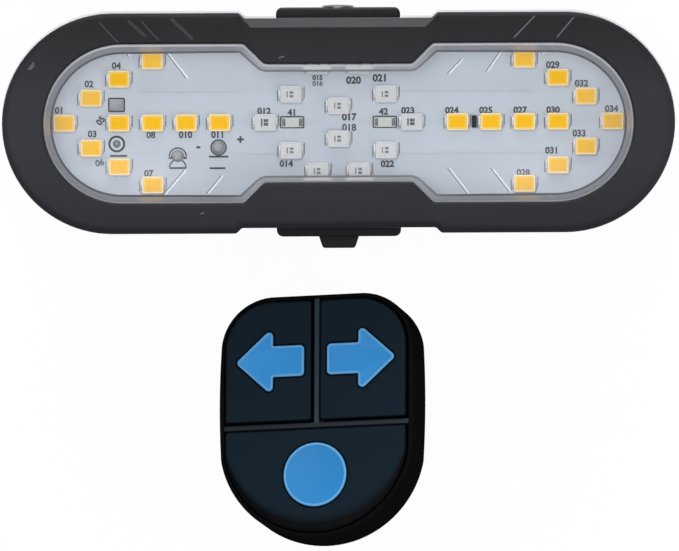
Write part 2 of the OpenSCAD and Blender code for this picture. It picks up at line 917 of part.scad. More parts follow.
module arrow_key() {
    difference() {
        union() {
            translate([0, 0, key_z0]) linear_extrude(key_t) left_cap();
            translate([-arrow_key_x, arrow_key_y, tact_top]) disc(stem_key_r, key_z0 - tact_top + key_t / 2);
        }
        translate([-arrow_key_x, arrow_key_y, remote_h - inlay_t + inlay_proud])
            linear_extrude(inlay_t) arrow_shape();
    }
}

module arrow_inlay() {
    translate([-arrow_key_x, arrow_key_y, remote_h - inlay_t + inlay_proud])
        linear_extrude(inlay_t) arrow_shape();
}

module tact_plunger(x, y) {
    z0 = rboard_z1 + tact_h - tact_sink;
    translate([x, y, z0]) disc(tact_r, tact_top - z0);
}

module left_key() {
    color([0.1, 0.13, 0.17]) at_remote() arrow_key();
}

module right_key() {
    color([0.1, 0.13, 0.17]) at_remote() mirror([1, 0, 0]) arrow_key();
}

module mode_key() {
    color([0.1, 0.13, 0.17]) at_remote() difference() {
        union() {
            translate([0, 0, key_z0]) linear_extrude(key_t) intersection() {
                remote_outline(key_inset);
                translate([-far / 2, split_y - key_gap / 2 - far]) square(far);
            }
            translate([0, mode_key_y, tact_top]) disc(stem_key_r, key_z0 - tact_top + key_t / 2);
        }
        translate([0, mode_key_y, remote_h - inlay_t + inlay_proud]) disc(disc_d / 2, inlay_t);
    }
}

module left_arrow() {
    color([0.22, 0.53, 0.78]) at_remote() arrow_inlay();
}

module right_arrow() {
    color([0.22, 0.53, 0.78]) at_remote() mirror([1, 0, 0]) arrow_inlay();
}

module mode_disc() {
    color([0.22, 0.53, 0.78]) at_remote()
        translate([0, mode_key_y, remote_h - inlay_t + inlay_proud])
            disc(disc_d / 2 - inlay_play, inlay_t);
}

module left_plunger() {
    color([0.85, 0.83, 0.78]) at_remote() tact_plunger(-arrow_key_x, arrow_key_y);
}

module right_plunger() {
    color([0.85, 0.83, 0.78]) at_remote() tact_plunger(arrow_key_x, arrow_key_y);
}

module mode_plunger() {
    color([0.85, 0.83, 0.78]) at_remote() tact_plunger(0, mode_key_y);
}

// Remote circuit and cell

module remote_switches() {
    color([0.6, 0.6, 0.62]) at_remote()
        for (p = [[-arrow_key_x, arrow_key_y], [arrow_key_x, arrow_key_y], [0, mode_key_y]]) {
            translate([p[0], p[1], rboard_z1]) difference() {
                translate([-tact_w / 2, -tact_w / 2, 0]) cube([tact_w, tact_w, tact_h]);
                translate([0, 0, tact_h - tact_bore]) disc(tact_r + tact_play, tact_bore + cut);
            }
        }
}

module remote_board() {
    color([0.1, 0.35, 0.2]) at_remote() translate([0, 0, rboard_z0]) linear_extrude(rboard_t) difference() {
        remote_outline(shell_wall + board_play);
        boss_spots() circle(r = rclear_r, $fn = round_fn);
    }
}

module remote_chip() {
    color([0.1, 0.1, 0.1]) at_remote()
        translate([-rchip_size[0] / 2, rchip_y - rchip_size[1] / 2, rboard_z1]) cube(rchip_size);
}

module coin_cell() {
    color([0.75, 0.75, 0.76]) at_remote() translate([0, cell_y, cell_z0]) disc(cell_r, cell_h);
}

module cell_clip() {
    clip_l = 2 * (cell_r + clip_reach);
    color([0.7, 0.65, 0.5]) at_remote() translate([-clip_w / 2, cell_y - clip_l / 2, cell_z1]) {
        cube([clip_w, clip_l, clip_t]);
        cube([clip_w, clip_leg, clip_t + clip_h]);
        translate([0, clip_l - clip_leg, 0]) cube([clip_w, clip_leg, clip_t + clip_h]);
    }
}

module handlebar_base() {
    color([0.06, 0.06, 0.06]) difference() {
        intersection() {
            translate([remote_x, remote_y, 0]) rotate([0, 0, spin])
                linear_extrude(far) remote_outline(base_inset);
            at_remote() translate([-far / 2, -far / 2, -far]) cube(far);
        }
        translate([remote_x - far / 2, remote_y + slot_y - slot_w / 2, slot_z])
            cube([far, slot_w, slot_h]);
    }
}

rear_housing();
bezel();
lens();
lens_gasket();
circuit_board();
left_signal_leds();
right_signal_leds();
left_phosphors();
right_phosphors();
brake_leds();
brake_windows();
indicator_leds();
chip_resistor();
solder_joints();
control_chip();
receiver_module();
usb_socket();
usb_tongue();
usb_cover();
power_pad();
power_key();
power_switch();
power_plunger();
battery_cell();
battery_foam();
battery_lead_plus();
battery_lead_minus();
housing_screws();
seatpost_saddle();
remote_upper_shell();
remote_lower_shell();
key_mat();
remote_board();
left_key();
right_key();
mode_key();
left_arrow();
right_arrow();
mode_disc();
left_plunger();
right_plunger();
mode_plunger();
remote_switches();
remote_chip();
coin_cell();
cell_clip();
remote_screws();
handlebar_base();
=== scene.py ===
"""Looks of a bicycle turn signal light and its wireless remote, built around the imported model."""

import json
import math

import bmesh
import bpy
from mathutils import Matrix, Vector


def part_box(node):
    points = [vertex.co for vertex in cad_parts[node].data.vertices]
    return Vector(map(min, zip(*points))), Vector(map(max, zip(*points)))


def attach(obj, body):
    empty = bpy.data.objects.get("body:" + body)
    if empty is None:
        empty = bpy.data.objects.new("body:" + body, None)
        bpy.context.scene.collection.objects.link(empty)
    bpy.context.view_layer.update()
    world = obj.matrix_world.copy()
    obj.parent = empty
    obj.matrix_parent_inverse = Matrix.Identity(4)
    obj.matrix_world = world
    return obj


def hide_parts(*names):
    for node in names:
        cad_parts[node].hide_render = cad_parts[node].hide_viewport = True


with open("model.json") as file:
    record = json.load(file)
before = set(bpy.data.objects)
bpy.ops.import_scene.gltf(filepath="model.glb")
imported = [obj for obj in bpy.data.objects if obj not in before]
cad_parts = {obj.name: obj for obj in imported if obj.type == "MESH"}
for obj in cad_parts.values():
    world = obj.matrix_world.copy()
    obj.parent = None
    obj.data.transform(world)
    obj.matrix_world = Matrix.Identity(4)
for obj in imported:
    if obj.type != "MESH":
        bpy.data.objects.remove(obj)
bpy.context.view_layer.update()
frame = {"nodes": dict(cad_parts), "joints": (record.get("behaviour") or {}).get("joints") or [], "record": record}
nodes = frame["nodes"]
scene = bpy.context.scene

# Seat post saddle: a block of soft black rubber bonded to the back of the lamp.
# Its round groove grips the post, and flutes along the groove keep the lamp from turning.
MM = 0.001
FINE_SHARE = 0.65
BROAD_GRAINS = 30
FINE_SHINE = 0.2
BROAD_SHINE = 0.15
GRAIN_DEPTH = 0.05 * MM
MERGE_DIST = 1e-7
SLIVER = 1e-8


class Wire:
    """A shader socket that Python operators work on; add() makes any node and returns an output."""

    def __init__(self, tree, socket=None):
        self.tree, self.socket = tree, socket

    def add(self, kind, settings=None, inputs=None, output=0):
        node = self.tree.nodes.new(kind)
        for key, value in (settings or {}).items():
            setattr(node, key, value)
        for key, value in (inputs or {}).items():
            self.feed(node.inputs[key], value)
        return Wire(self.tree, node.outputs[output])

    def feed(self, target, value):
        if isinstance(value, Wire):
            self.tree.links.new(value.socket, target)
        else:
            target.default_value = value

    def math(self, operation, left, right):
        return self.add("ShaderNodeMath", {"operation": operation}, {0: left, 1: right})

    def __add__(self, other):
        return self.math("ADD", self, other)

    def __radd__(self, other):
        return self.math("ADD", other, self)

    def __sub__(self, other):
        return self.math("SUBTRACT", self, other)

    def __rsub__(self, other):
        return self.math("SUBTRACT", other, self)

    def __mul__(self, other):
        return self.math("MULTIPLY", self, other)

    def __rmul__(self, other):
        return self.math("MULTIPLY", other, self)

    def under(self, limit):
        return self.math("LESS_THAN", self, limit)

    def over(self, limit):
        return self.math("GREATER_THAN", self, limit)

    def size(self):
        return self.add("ShaderNodeMath", {"operation": "ABSOLUTE"}, {0: self})

    def mix(self, low, high):
        """A colour between low and high, by this value."""
        return self.add("ShaderNodeMix", {"data_type": "RGBA"}, {0: self, 6: low, 7: high}, output=2)


def finish(name, **plain):
    """A material, its Principled shader with the plain values set, and a Wire to build with."""
    material = bpy.data.materials.new(name)
    material.use_nodes = True
    shader = material.node_tree.nodes["Principled BSDF"]
    for key, value in plain.items():
        shader.inputs[key.replace("_", " ")].default_value = value
    return material, shader, Wire(material.node_tree)


def tone(colour, factor):
    """A colour made lighter or darker, as RGBA."""
    return tuple(min(1.0, c * factor) for c in colour) + (1.0,)


def moulded(name, colour, rough, grain_mm, relief, spread=0.2, **plain):
    """A moulded skin: speckle in its colour, an uneven shine and a fine grain, by place on the piece.

    Rough is the mean roughness, grain_mm the grain's size, relief the strength of its bump, and spread
    how far the speckle strays from the colour.
    """
    material, shader, wire = finish(name, **plain)
    place = wire.add("ShaderNodeTexCoord", output="Object")
    scale = 1 / (grain_mm * MM)
    fine = wire.add("ShaderNodeTexNoise", inputs={"Vector": place, "Scale": scale, "Detail": 2.0})
    broad = wire.add("ShaderNodeTexNoise",
                     inputs={"Vector": place, "Scale": scale / BROAD_GRAINS, "Detail": 3.0})
    speckle = fine * FINE_SHARE + broad * (1 - FINE_SHARE)
    wire.feed(shader.inputs["Base Color"], speckle.mix(tone(colour, 1 - spread), tone(colour, 1 + spread)))
    wire.feed(shader.inputs["Roughness"], (fine - 0.5) * FINE_SHINE + (broad - 0.5) * BROAD_SHINE + rough)
    bump = wire.add("ShaderNodeBump", inputs={"Strength": relief, "Distance": GRAIN_DEPTH, "Height": fine})
    wire.feed(shader.inputs["Normal"], bump)
    return material


def tidy(mesh, crease=35):
    """Merges doubled points, turns faces outwards and smooths all but the creases."""
    shape = bmesh.new()
    shape.from_mesh(mesh)
    bmesh.ops.remove_doubles(shape, verts=shape.verts, dist=MERGE_DIST)
    bmesh.ops.dissolve_degenerate(shape, edges=shape.edges, dist=SLIVER)
    bmesh.ops.recalc_face_normals(shape, faces=shape.faces)
    shape.to_mesh(mesh)
    shape.free()
    mesh.polygons.foreach_set("use_smooth", [True] * len(mesh.polygons))
    mesh.set_sharp_from_angle(angle=math.radians(crease))


def shown(name, mesh, materials, crease):
    """A new object for a mesh, tidied and with its materials."""
    tidy(mesh, crease)
    for material in materials:
        mesh.materials.append(material)
    thing = bpy.data.objects.new(name, mesh)
    scene.collection.objects.link(thing)
    return thing


def piece(name, points, faces, *materials, crease=35):
    """A new object from points in metres and faces."""
    mesh = bpy.data.meshes.new(name)
    mesh.from_pydata(points, [], faces)
    return shown(name, mesh, materials, crease)


def skin(name, rings, *materials, around=False, crease=35):
    """A piece whose faces join rings of equal point counts; its ends are capped unless it closes around."""
    count = len(rings[0])
    faces = []
    for a in range(len(rings) - (0 if around else 1)):
        b = (a + 1) % len(rings)
        for i in range(count):
            j = (i + 1) % count
            faces.append((a * count + i, a * count + j, b * count + j, b * count + i))
    if not around:
        faces.append(tuple(range(count))[::-1])
        faces.append(tuple(range((len(rings) - 1) * count, len(rings) * count)))
    return piece(name, [p for ring in rings for p in ring], faces, *materials, crease=crease)


RUBBER_BLACK = (0.0075, 0.0075, 0.0088)
soft_rubber = moulded("soft_rubber", RUBBER_BLACK, 0.62, 0.18, 0.5, Specular_IOR_Level=0.18)

GROOVE_R = 13.7 * MM
GROOVE_HALF_ANGLE = 62
FLUTES = 24
FLUTE_DEPTH = 0.45 * MM
SADDLE_ROUND = 0.9 * MM
SADDLE_EDGE = 0.4 * MM
SCREW_SUNK = 0.3 * MM

saddle_low, saddle_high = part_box("seatpost_saddle")
lamp_y = (saddle_low.y + saddle_high.y) / 2
groove = next(m for m in frame["record"]["mounts"] if m["name"] == "seatpost_groove")
groove_z = groove["pos_m"][2]
rear_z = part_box("housing_screws")[0].z - SCREW_SUNK


def swing(x, y, radius, start, end, steps):
    """Points of an arc about a centre, between two angles."""
    turns = [start + (end - start) * k / steps for k in range(steps + 1)]
    return [(x + radius * math.cos(t), y + radius * math.sin(t)) for t in turns]


def chamfered(low, high, edge):
    """(place, shrink) pairs of a bar between two places, with both its ends chamfered by edge."""
    return ((low, edge), (low + edge, 0.0), (high - edge, 0.0), (high, edge))


def saddle_profile(shrink):
    """Section of the saddle across the post: a block with rounded corners and a fluted groove."""
    half = saddle_high.x - shrink
    profile = []
    for k in range(FLUTES * 4 + 1):
        angle = math.radians(GROOVE_HALF_ANGLE * (k / (FLUTES * 2) - 1))
        deep = FLUTE_DEPTH if k % 4 in (2, 3) else 0.0
        radius = GROOVE_R + deep + shrink
        profile.append((radius * math.sin(angle), groove_z + radius * math.cos(angle)))
    corner_z = saddle_low.z + SADDLE_ROUND
    profile += swing(half - SADDLE_ROUND, corner_z, SADDLE_ROUND, -math.pi / 2, 0.0, 4)
    profile += [(half, rear_z), (-half, rear_z)]
    return profile + swing(SADDLE_ROUND - half, corner_z, SADDLE_ROUND, math.pi, 1.5 * math.pi, 4)


saddle_rings = [[(x, y, z) for x, z in saddle_profile(shrink)]
                for y, shrink in chamfered(saddle_low.y, saddle_high.y, SADDLE_EDGE)]
saddle = skin("fluted_saddle", saddle_rings, soft_rubber, crease=28)
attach(saddle, "lamp")
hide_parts("seatpost_saddle")

# Rear housing: the lamp's moulded tub in black plastic, with a round rear edge.
# Screw wells, the charging port, the key's hole and the cover's hinge groove are cut into it.
HOUSING_BLACK = (0.012, 0.012, 0.013)
housing_plastic = moulded("housing_plastic", HOUSING_BLACK, 0.5, 0.22, 0.6)

NOTCH_LENGTH = 30.7 * MM
NOTCH_DEPTH = 0.9 * MM
NOTCH_LOWER = 0.55 * MM
NOTCH_ROUND = 0.7 * MM
FULL_ROUND = 0.999
LEAST_ARC = 1e-6
REAR_ROUND = 2.4 * MM
REAR_FLAT = 0.2 * MM
HOUSING_WALL = 1.8 * MM
HOUSING_FLOOR = 2.0 * MM
HOUSING_INSET = 0.3 * MM
END_STEPS = 24
bezel_low, bezel_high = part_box("bezel")
lamp_length = bezel_high.x - bezel_low.x
lamp_width = bezel_high.y - bezel_low.y


def rounded_path(corners):
    """Points along a closed path of (x, y, radius, steps) corners, each rounded by an arc."""
    points = []
    for i, (x, y, radius, steps) in enumerate(corners):
        here = Vector((x, y))
        back = (Vector(corners[i - 1][:2]) - here).normalized()
        ahead = (Vector(corners[(i + 1) % len(corners)][:2]) - here).normalized()
        half = math.acos(max(-1.0, min(1.0, back.dot(ahead)))) / 2
        centre = here + (back + ahead).normalized() * (radius / math.sin(half))
        first = here + back * (radius / math.tan(half)) - centre
        last = here + ahead * (radius / math.tan(half)) - centre
        turn = math.atan2(first.x * last.y - first.y * last.x, first.dot(last))
        for k in range(steps + 1):
            c, s = math.cos(turn * k / steps), math.sin(turn * k / steps)
            points.append((centre.x + c * first.x - s * first.y, centre.y + s * first.x + c * first.y))
    return points


def shrunk(corners, inset):
    """A counter-clockwise path's corners moved inwards by inset, with their arcs kept concentric."""
    moved = []
    for i, (x, y, radius, steps) in enumerate(corners):
        before, after = corners[i - 1], corners[(i + 1) % len(corners)]
        one = Vector((x - before[0], y - before[1])).normalized()
        two = Vector((after[0] - x, after[1] - y)).normalized()
        side_one, side_two = Vector((-one.y, one.x)), Vector((-two.y, two.x))
        shift = (side_one + side_two) * (inset / (1 + side_one.dot(side_two)))
        outward = one.x * two.y - one.y * two.x > 0
        moved_radius = max(radius + (-inset if outward else inset), LEAST_ARC)
        moved.append((x + shift.x, y + shift.y, moved_radius, steps))
    return moved


def notched_stadium(length, width, notch_half, notch_depth, notch_round, lower_extra=0.0):
    """Corners of a stadium whose long edges step inwards in the middle by 45 degree flanks.

    The lower step is longer by lower_extra at each end.
    """
    x, y = length / 2, width / 2
    ends = FULL_ROUND * y
    flank = notch_half + notch_depth
    upper = [(flank, y, notch_round, 5), (notch_half, y - notch_depth, notch_round, 5),
             (-notch_half, y - notch_depth, notch_round, 5), (-flank, y, notch_round, 5)]
    lower = [(-a - math.copysign(lower_extra, a), -b, r, n) for a, b, r, n in upper]
    return ([(x, -y, ends, END_STEPS), (x, y, ends, END_STEPS)] + upper
            + [(-x, y, ends, END_STEPS), (-x, -y, ends, END_STEPS)] + lower)


def lamp_ring(inset, z):
    """One ring of the lamp's outline, moved inwards by inset."""
    corners = notched_stadium(lamp_length, lamp_width, NOTCH_LENGTH / 2, NOTCH_DEPTH, NOTCH_ROUND,
                              NOTCH_LOWER)
    return [(x, y + lamp_y, z) for x, y in rounded_path(shrunk(corners, inset))]


def arc(radius, steps=6):
    """(sideways, upward) steps of a quarter round, from its side to its top."""
    turns = [math.pi / 2 * k / steps for k in range(steps + 1)]
    return [(radius * (1 - math.cos(t)), radius * math.sin(t)) for t in turns]


rim_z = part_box("lens_gasket")[0].z
rear_rings = [lamp_ring(HOUSING_INSET + REAR_ROUND + REAR_FLAT, rear_z)]
rear_rings += [lamp_ring(HOUSING_INSET + side, rear_z + REAR_ROUND - up)
               for side, up in reversed(arc(REAR_ROUND))]
rear_rings += [lamp_ring(HOUSING_INSET, rim_z), lamp_ring(HOUSING_INSET + HOUSING_WALL, rim_z),
               lamp_ring(HOUSING_INSET + HOUSING_WALL, rear_z + HOUSING_FLOOR)]
housing = skin("moulded_rear_housing", rear_rings, housing_plastic)


def join(name, things):
    """One object from several, with their meshes together."""
    base = things[0]
    with bpy.context.temp_override(active_object=base, object=base, selected_objects=things,
                                   selected_editable_objects=things):
        bpy.ops.object.join()
    base.name = base.data.name = name
    return base


ROD_SIDES = 48
BEVEL_STEPS = 3
BLOCK_CREASE = 40


def circle(radius, sides):
    """Points of a circle about the origin."""
    return swing(0.0, 0.0, radius, 0.0, 2 * math.pi, sides)[:-1]


def rod(name, start, end, radius, *materials):
    """A straight rod between two points."""
    start, end = Vector(start), Vector(end)
    turn = (end - start).to_track_quat("Z", "Y")
    rings = [[centre + turn @ Vector((x, y, 0.0)) for x, y in circle(radius, ROD_SIDES)]
             for centre in (start, end)]
    return skin(name, rings, *materials)


def block(name, low, high, bevel, *materials):
    """A box between two corners with rounded edges."""
    shape = bmesh.new()
    bmesh.ops.create_cube(shape, size=1.0)
    low, high = Vector(low), Vector(high)
    for v in shape.verts:
        v.co = Vector([low[i] + (v.co[i] + 0.5) * (high[i] - low[i]) for i in range(3)])
    if bevel:
        bmesh.ops.bevel(shape, geom=shape.edges, offset=bevel, segments=BEVEL_STEPS, profile=0.5,
                        affect="EDGES")
    mesh = bpy.data.meshes.new(name)
    shape.to_mesh(mesh)
    shape.free()
    return shown(name, mesh, materials, BLOCK_CREASE)


def plain_mesh(thing):
    """Turns an object's modifiers into its mesh."""
    graph = bpy.context.evaluated_depsgraph_get()
    mesh = bpy.data.meshes.new_from_object(thing.evaluated_get(graph), depsgraph=graph)
    thing.modifiers.clear()
    thing.data = mesh


def carve(thing, *cutters, crease=35):
    """Cuts the cutters out of a piece and removes them."""
    tool = join("cutter", list(cutters)) if len(cutters) > 1 else cutters[0]
    cut = thing.modifiers.new("cut", "BOOLEAN")
    cut.operation, cut.solver, cut.object = "DIFFERENCE", "EXACT", tool
    bpy.context.view_layer.update()
    plain_mesh(thing)
    bpy.data.objects.remove(tool)
    tidy(thing.data, crease)


def paint(thing, *materials):
    """Gives an object these materials in place of its own, the first of them all over."""
    thing.data.materials.clear()
    for material in materials:
        thing.data.materials.append(material)


SCREW_WELL_R = 1.75 * MM
SCREW_WELL_DEPTH = 1.6 * MM
SIDE_SCREW = (34.0 * MM, 15.3 * MM)
END_SCREW_X = 51.7 * MM
STEM_HOLE_R = 1.6 * MM
STEM_HOLE_ENDS = (14.0 * MM, 18.0 * MM)
PORT_SIZE = (9.6 * MM, 3.9 * MM)
PORT_ENDS = (-2.0 * MM, 3.0 * MM)
PORT_ROUND = 1.2 * MM
BEAD_GROOVE_R = 0.9 * MM
BEAD_GROOVE_IN = 1.1 * MM
screw_spots = [(sx * SIDE_SCREW[0], lamp_y + sy * SIDE_SCREW[1]) for sx in (-1, 1) for sy in (-1, 1)]
screw_spots += [(-END_SCREW_X, lamp_y), (END_SCREW_X, lamp_y)]
hinge = next(j for j in frame["joints"] if j["name"] == "cover_hinge")
hinge_y, hinge_z = hinge["pos_m"][1:]
key_low, key_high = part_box("power_key")
key_z = (key_low.z + key_high.z) / 2
socket_low, socket_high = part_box("usb_socket")
port_z = (socket_low.z + socket_high.z) / 2
cover_low, cover_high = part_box("usb_cover")

wells = [rod("well", (x, y, rear_z - MM), (x, y, rear_z + SCREW_WELL_DEPTH), SCREW_WELL_R)
         for x, y in screw_spots]
wells.append(rod("key_hole", (0, lamp_y + STEM_HOLE_ENDS[0], key_z), (0, lamp_y + STEM_HOLE_ENDS[1], key_z),
                 STEM_HOLE_R))
wells.append(block("port_hole", (-PORT_SIZE[0] / 2, hinge_y + PORT_ENDS[0], port_z - PORT_SIZE[1] / 2),
                   (PORT_SIZE[0] / 2, hinge_y + PORT_ENDS[1], port_z + PORT_SIZE[1] / 2), PORT_ROUND))
wells.append(rod("bead_groove", (cover_low.x + BEAD_GROOVE_IN, hinge_y, hinge_z),
                 (cover_high.x - BEAD_GROOVE_IN, hinge_y, hinge_z), BEAD_GROOVE_R))
carve(housing, *wells)
paint(housing, housing_plastic)
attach(housing, "lamp")
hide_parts("rear_housing")

# Strap hooks: two L-shaped lugs moulded on the tub's back, one on each side of the saddle.
# The ends of a rubber strap pull over them and hold the lamp on the post.
HOOK_STEM = 3.0 * MM
HOOK_LIP = 2.5 * MM
HOOK_LIP_THICK = 2.0 * MM
HOOK_HALF_LENGTH = 6.0 * MM
HOOK_OUT = 3.0 * MM
HOOK_ROUND = 0.6 * MM
HOOK_EDGE = 0.35 * MM
hook_x = saddle_high.x + HOOK_OUT
stem_x = hook_x + HOOK_STEM
lip_x = stem_x + HOOK_LIP
hook_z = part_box("rear_housing")[0].z
lip_z = hook_z + HOOK_LIP_THICK
root_z = rear_z + MM
hook_across = ((hook_x, root_z), (hook_x, hook_z), (lip_x, hook_z), (lip_x, lip_z), (stem_x, lip_z),
               (stem_x, root_z))
hook_corners = [(x, z, HOOK_ROUND, 4) for x, z in hook_across]
hooks = []
for side in (-1, 1):
    rings = []
    for y, shrink in chamfered(-HOOK_HALF_LENGTH, HOOK_HALF_LENGTH, HOOK_EDGE):
        section = rounded_path(shrunk(hook_corners, shrink))
        rings.append([(side * x, lamp_y + y, z) for x, z in section])
    hooks.append(skin("hook", rings, housing_plastic))
strap_hooks = join("strap_hooks", hooks)
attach(strap_hooks, "lamp")

# Lithium cell, its foam pad and its two leads: a foil pouch that fills the tub under the board.
# The leads are tinned wire in silicone sleeves, soldered to the board's plus and minus pads.
CELL_FOIL = (0.52, 0.53, 0.55)
FOAM_GREY = (0.05, 0.05, 0.052)
SLEEVE_RED = (0.42, 0.012, 0.01)
SLEEVE_BLACK = (0.015, 0.015, 0.015)


def dress(material, *names):
    """Gives CAD nodes a material of their own."""
    for name in names:
        paint(nodes[name], material)


dress(moulded("cell_foil", CELL_FOIL, 0.34, 0.8, 0.5, 0.08, Metallic=0.85), "battery_cell")
dress(moulded("foam_pad", FOAM_GREY, 0.9, 0.35, 1.0, 0.3), "battery_foam")
dress(moulded("red_sleeve", SLEEVE_RED, 0.45, 0.3, 0.3, 0.1), "battery_lead_plus")
dress(moulded("black_sleeve", SLEEVE_BLACK, 0.45, 0.3, 0.3, 0.1), "battery_lead_minus")

# Circuit board: a fibreglass sheet under white solder mask that carries the emitters.
# Faint ridges of copper show through the mask, and the print marks places by plain numbers.
MASK_WHITE = (0.435, 0.485, 0.553)
MOTTLE_SCALE = 180.0
FIBRE_SCALE = 2600.0
TRACES = ((5.0 * MM, -32.0 * MM, -17.0 * MM), (5.0 * MM, 10.5 * MM, 31.5 * MM),
          (-5.3 * MM, 9.0 * MM, 34.0 * MM), (-5.3 * MM, -15.0 * MM, -8.5 * MM))
TRACE_HALF = 0.1 * MM
POURS = ((2.6 * MM, 2.0 * MM), (-2.7 * MM, 2.1 * MM))
MASK_RELIEF = 0.03 * MM
MASK_BUMP = 0.5
FIBRE_RISE = 0.3
POUR_RISE = 0.5
MASK_RANGE = (0.86, 1.12)
SHADE_START = 0.12
MOTTLE_SHADE = 0.5
FIBRE_SHADE = 0.2
POUR_SHADE = 0.14
TRACE_SHADE = 0.4
MASK_ROUGH = 0.35
MOTTLE_ROUGH = 0.2
board_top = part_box("circuit_board")[1].z

mask, mask_shader, mask_wire = finish("white_solder_mask", Specular_IOR_Level=0.4)
mask_place = mask_wire.add("ShaderNodeTexCoord", output="Object")
mask_axes = mask_wire.add("ShaderNodeSeparateXYZ", inputs={"Vector": mask_place})
mask_x = Wire(mask_wire.tree, mask_axes.socket.node.outputs["X"])
mask_y = Wire(mask_wire.tree, mask_axes.socket.node.outputs["Y"]) - lamp_y
mottle = mask_wire.add("ShaderNodeTexNoise",
                       inputs={"Vector": mask_place, "Scale": MOTTLE_SCALE, "Detail": 4.0})
fibre = mask_wire.add("ShaderNodeTexNoise",
                      inputs={"Vector": mask_place, "Scale": FIBRE_SCALE, "Detail": 2.0})
trace = 0.0
for at, start, end in TRACES:
    along = mask_x.over(start) * mask_x.under(end)
    trace = (mask_y - at).size().under(TRACE_HALF) * along + trace
pour = 0.0
for at, half in POURS:
    pour = (mask_y - at).size().under(half) + pour
shade = mottle * MOTTLE_SHADE + fibre * FIBRE_SHADE + pour * POUR_SHADE + SHADE_START - trace * TRACE_SHADE
mask_wire.feed(mask_shader.inputs["Base Color"], shade.mix(*[tone(MASK_WHITE, end) for end in MASK_RANGE]))
mask_wire.feed(mask_shader.inputs["Roughness"], mottle * MOTTLE_ROUGH + MASK_ROUGH)
weave = fibre * FIBRE_RISE + trace + pour * POUR_RISE
mask_bump = {"Strength": MASK_BUMP, "Distance": MASK_RELIEF, "Height": weave}
mask_wire.feed(mask_shader.inputs["Normal"], mask_wire.add("ShaderNodeBump", inputs=mask_bump))
dress(mask, "circuit_board")

CHIP_BLACK = (0.008, 0.008, 0.009)
BOARD_GREEN = (0.012, 0.085, 0.04)
chip_resin = moulded("chip_resin", CHIP_BLACK, 0.5, 0.12, 0.6, Specular_IOR_Level=0.1)
board_green = moulded("board_green", BOARD_GREEN, 0.4, 0.4, 0.4)
dress(chip_resin, "control_chip", "chip_resistor")
dress(board_green, "receiver_module")

# Light emitters: small moulded packages with a cup of resin, soldered by a tab at each end.
# Eleven amber ones make each arrow, and twelve clear ones make the ring of the brake light.
LED_LENGTH = 3.5 * MM
LED_WIDTH = 2.8 * MM
LED_HEIGHT = 0.9 * MM
LED_ROUND = 0.32 * MM
CUP_RIM = 0.18 * MM
CUP_DEPTH = 0.3 * MM
TAB_SIZE = (0.42 * MM, 1.9 * MM, 0.16 * MM)
TAB_BEVEL = 0.05 * MM
TAB_UNDER = 0.12 * MM
PACKAGE_CREAM = (0.90, 0.77, 0.48)
PACKAGE_WHITE = (0.60, 0.62, 0.645)
AMBER = (0.87, 0.475, 0.0)
AMBER_PALE = (0.84, 0.56, 0.13)
RESIN_EDGE = 0.03 * MM
CLEAR_RESIN = (0.545, 0.56, 0.58)
TIN = (0.30, 0.305, 0.315)
ROW_Y = -0.05 * MM
TIP_X = 45.0 * MM
HEAD_STEPS = ((0, 0), (4.4, 4.1), (4.4, -4.1), (9, 7.2), (9, -7.2), (14.5, 10.2), (14.5, -10.2))
SHAFT_BACK = 9.0 * MM
SHAFT_PITCH = 5.5 * MM
SHAFT_COUNT = 4
RING_SPOTS = ((12, 0), (-12, 0), (0, 2.7), (0, -2.7), (7.8, 4.6), (7.8, -4.6), (-7.8, 4.6), (-7.8, -4.6),
              (3.4, 9.3), (3.4, -8.0), (-3.4, 9.3), (-3.4, -8.0))
arrow_spots = [(TIP_X - a * MM, ROW_Y + b * MM) for a, b in HEAD_STEPS]
arrow_spots += [(TIP_X - SHAFT_BACK - k * SHAFT_PITCH, ROW_Y) for k in range(SHAFT_COUNT)]
ring_spots = [(a * MM, ROW_Y + b * MM) for a, b in RING_SPOTS]


def box_path(length, width, radius, steps=4):
    """Corners of a rounded rectangle about the origin."""
    x, y = length / 2, width / 2
    return [(x, -y, radius, steps), (x, y, radius, steps), (-x, y, radius, steps), (-x, -y, radius, steps)]


def rings_of(corners, levels):
    """Rings of a path at (inset, height) levels."""
    return [[(x, y, z) for x, y in rounded_path(shrunk(corners, inset))] for inset, z in levels]


scatter_tree = bpy.data.node_groups.new("lay_out_pieces", "GeometryNodeTree")
for label, kind in (("Spots", "NodeSocketGeometry"), ("Pattern", "NodeSocketObject"),
                    ("Finish", "NodeSocketMaterial")):
    scatter_tree.interface.new_socket(label, in_out="INPUT", socket_type=kind)
scatter_tree.interface.new_socket("Pieces", in_out="OUTPUT", socket_type="NodeSocketGeometry")
laid = {}
for label, kind in (("in", "NodeGroupInput"), ("out", "NodeGroupOutput"),
                    ("pattern", "GeometryNodeObjectInfo"), ("turn", "GeometryNodeInputNamedAttribute"),
                    ("stretch", "GeometryNodeInputNamedAttribute"), ("axis", "ShaderNodeCombineXYZ"),
                    ("place", "GeometryNodeInstanceOnPoints"), ("real", "GeometryNodeRealizeInstances"),
                    ("paint", "GeometryNodeSetMaterial")):
    laid[label] = scatter_tree.nodes.new(kind)
laid["turn"].inputs["Name"].default_value = "turn"
laid["stretch"].data_type = "FLOAT_VECTOR"
laid["stretch"].inputs["Name"].default_value = "stretch"
for start, out, end, into in (
        ("in", "Spots", "place", "Points"), ("in", "Pattern", "pattern", "Object"),
        ("pattern", "Geometry", "place", "Instance"), ("turn", "Attribute", "axis", "Z"),
        ("axis", "Vector", "place", "Rotation"), ("stretch", "Attribute", "place", "Scale"),
        ("place", "Instances", "real", "Geometry"), ("real", "Geometry", "paint", "Geometry"),
        ("in", "Finish", "paint", "Material"), ("paint", "Geometry", "out", "Pieces")):
    scatter_tree.links.new(laid[start].outputs[out], laid[end].inputs[into])


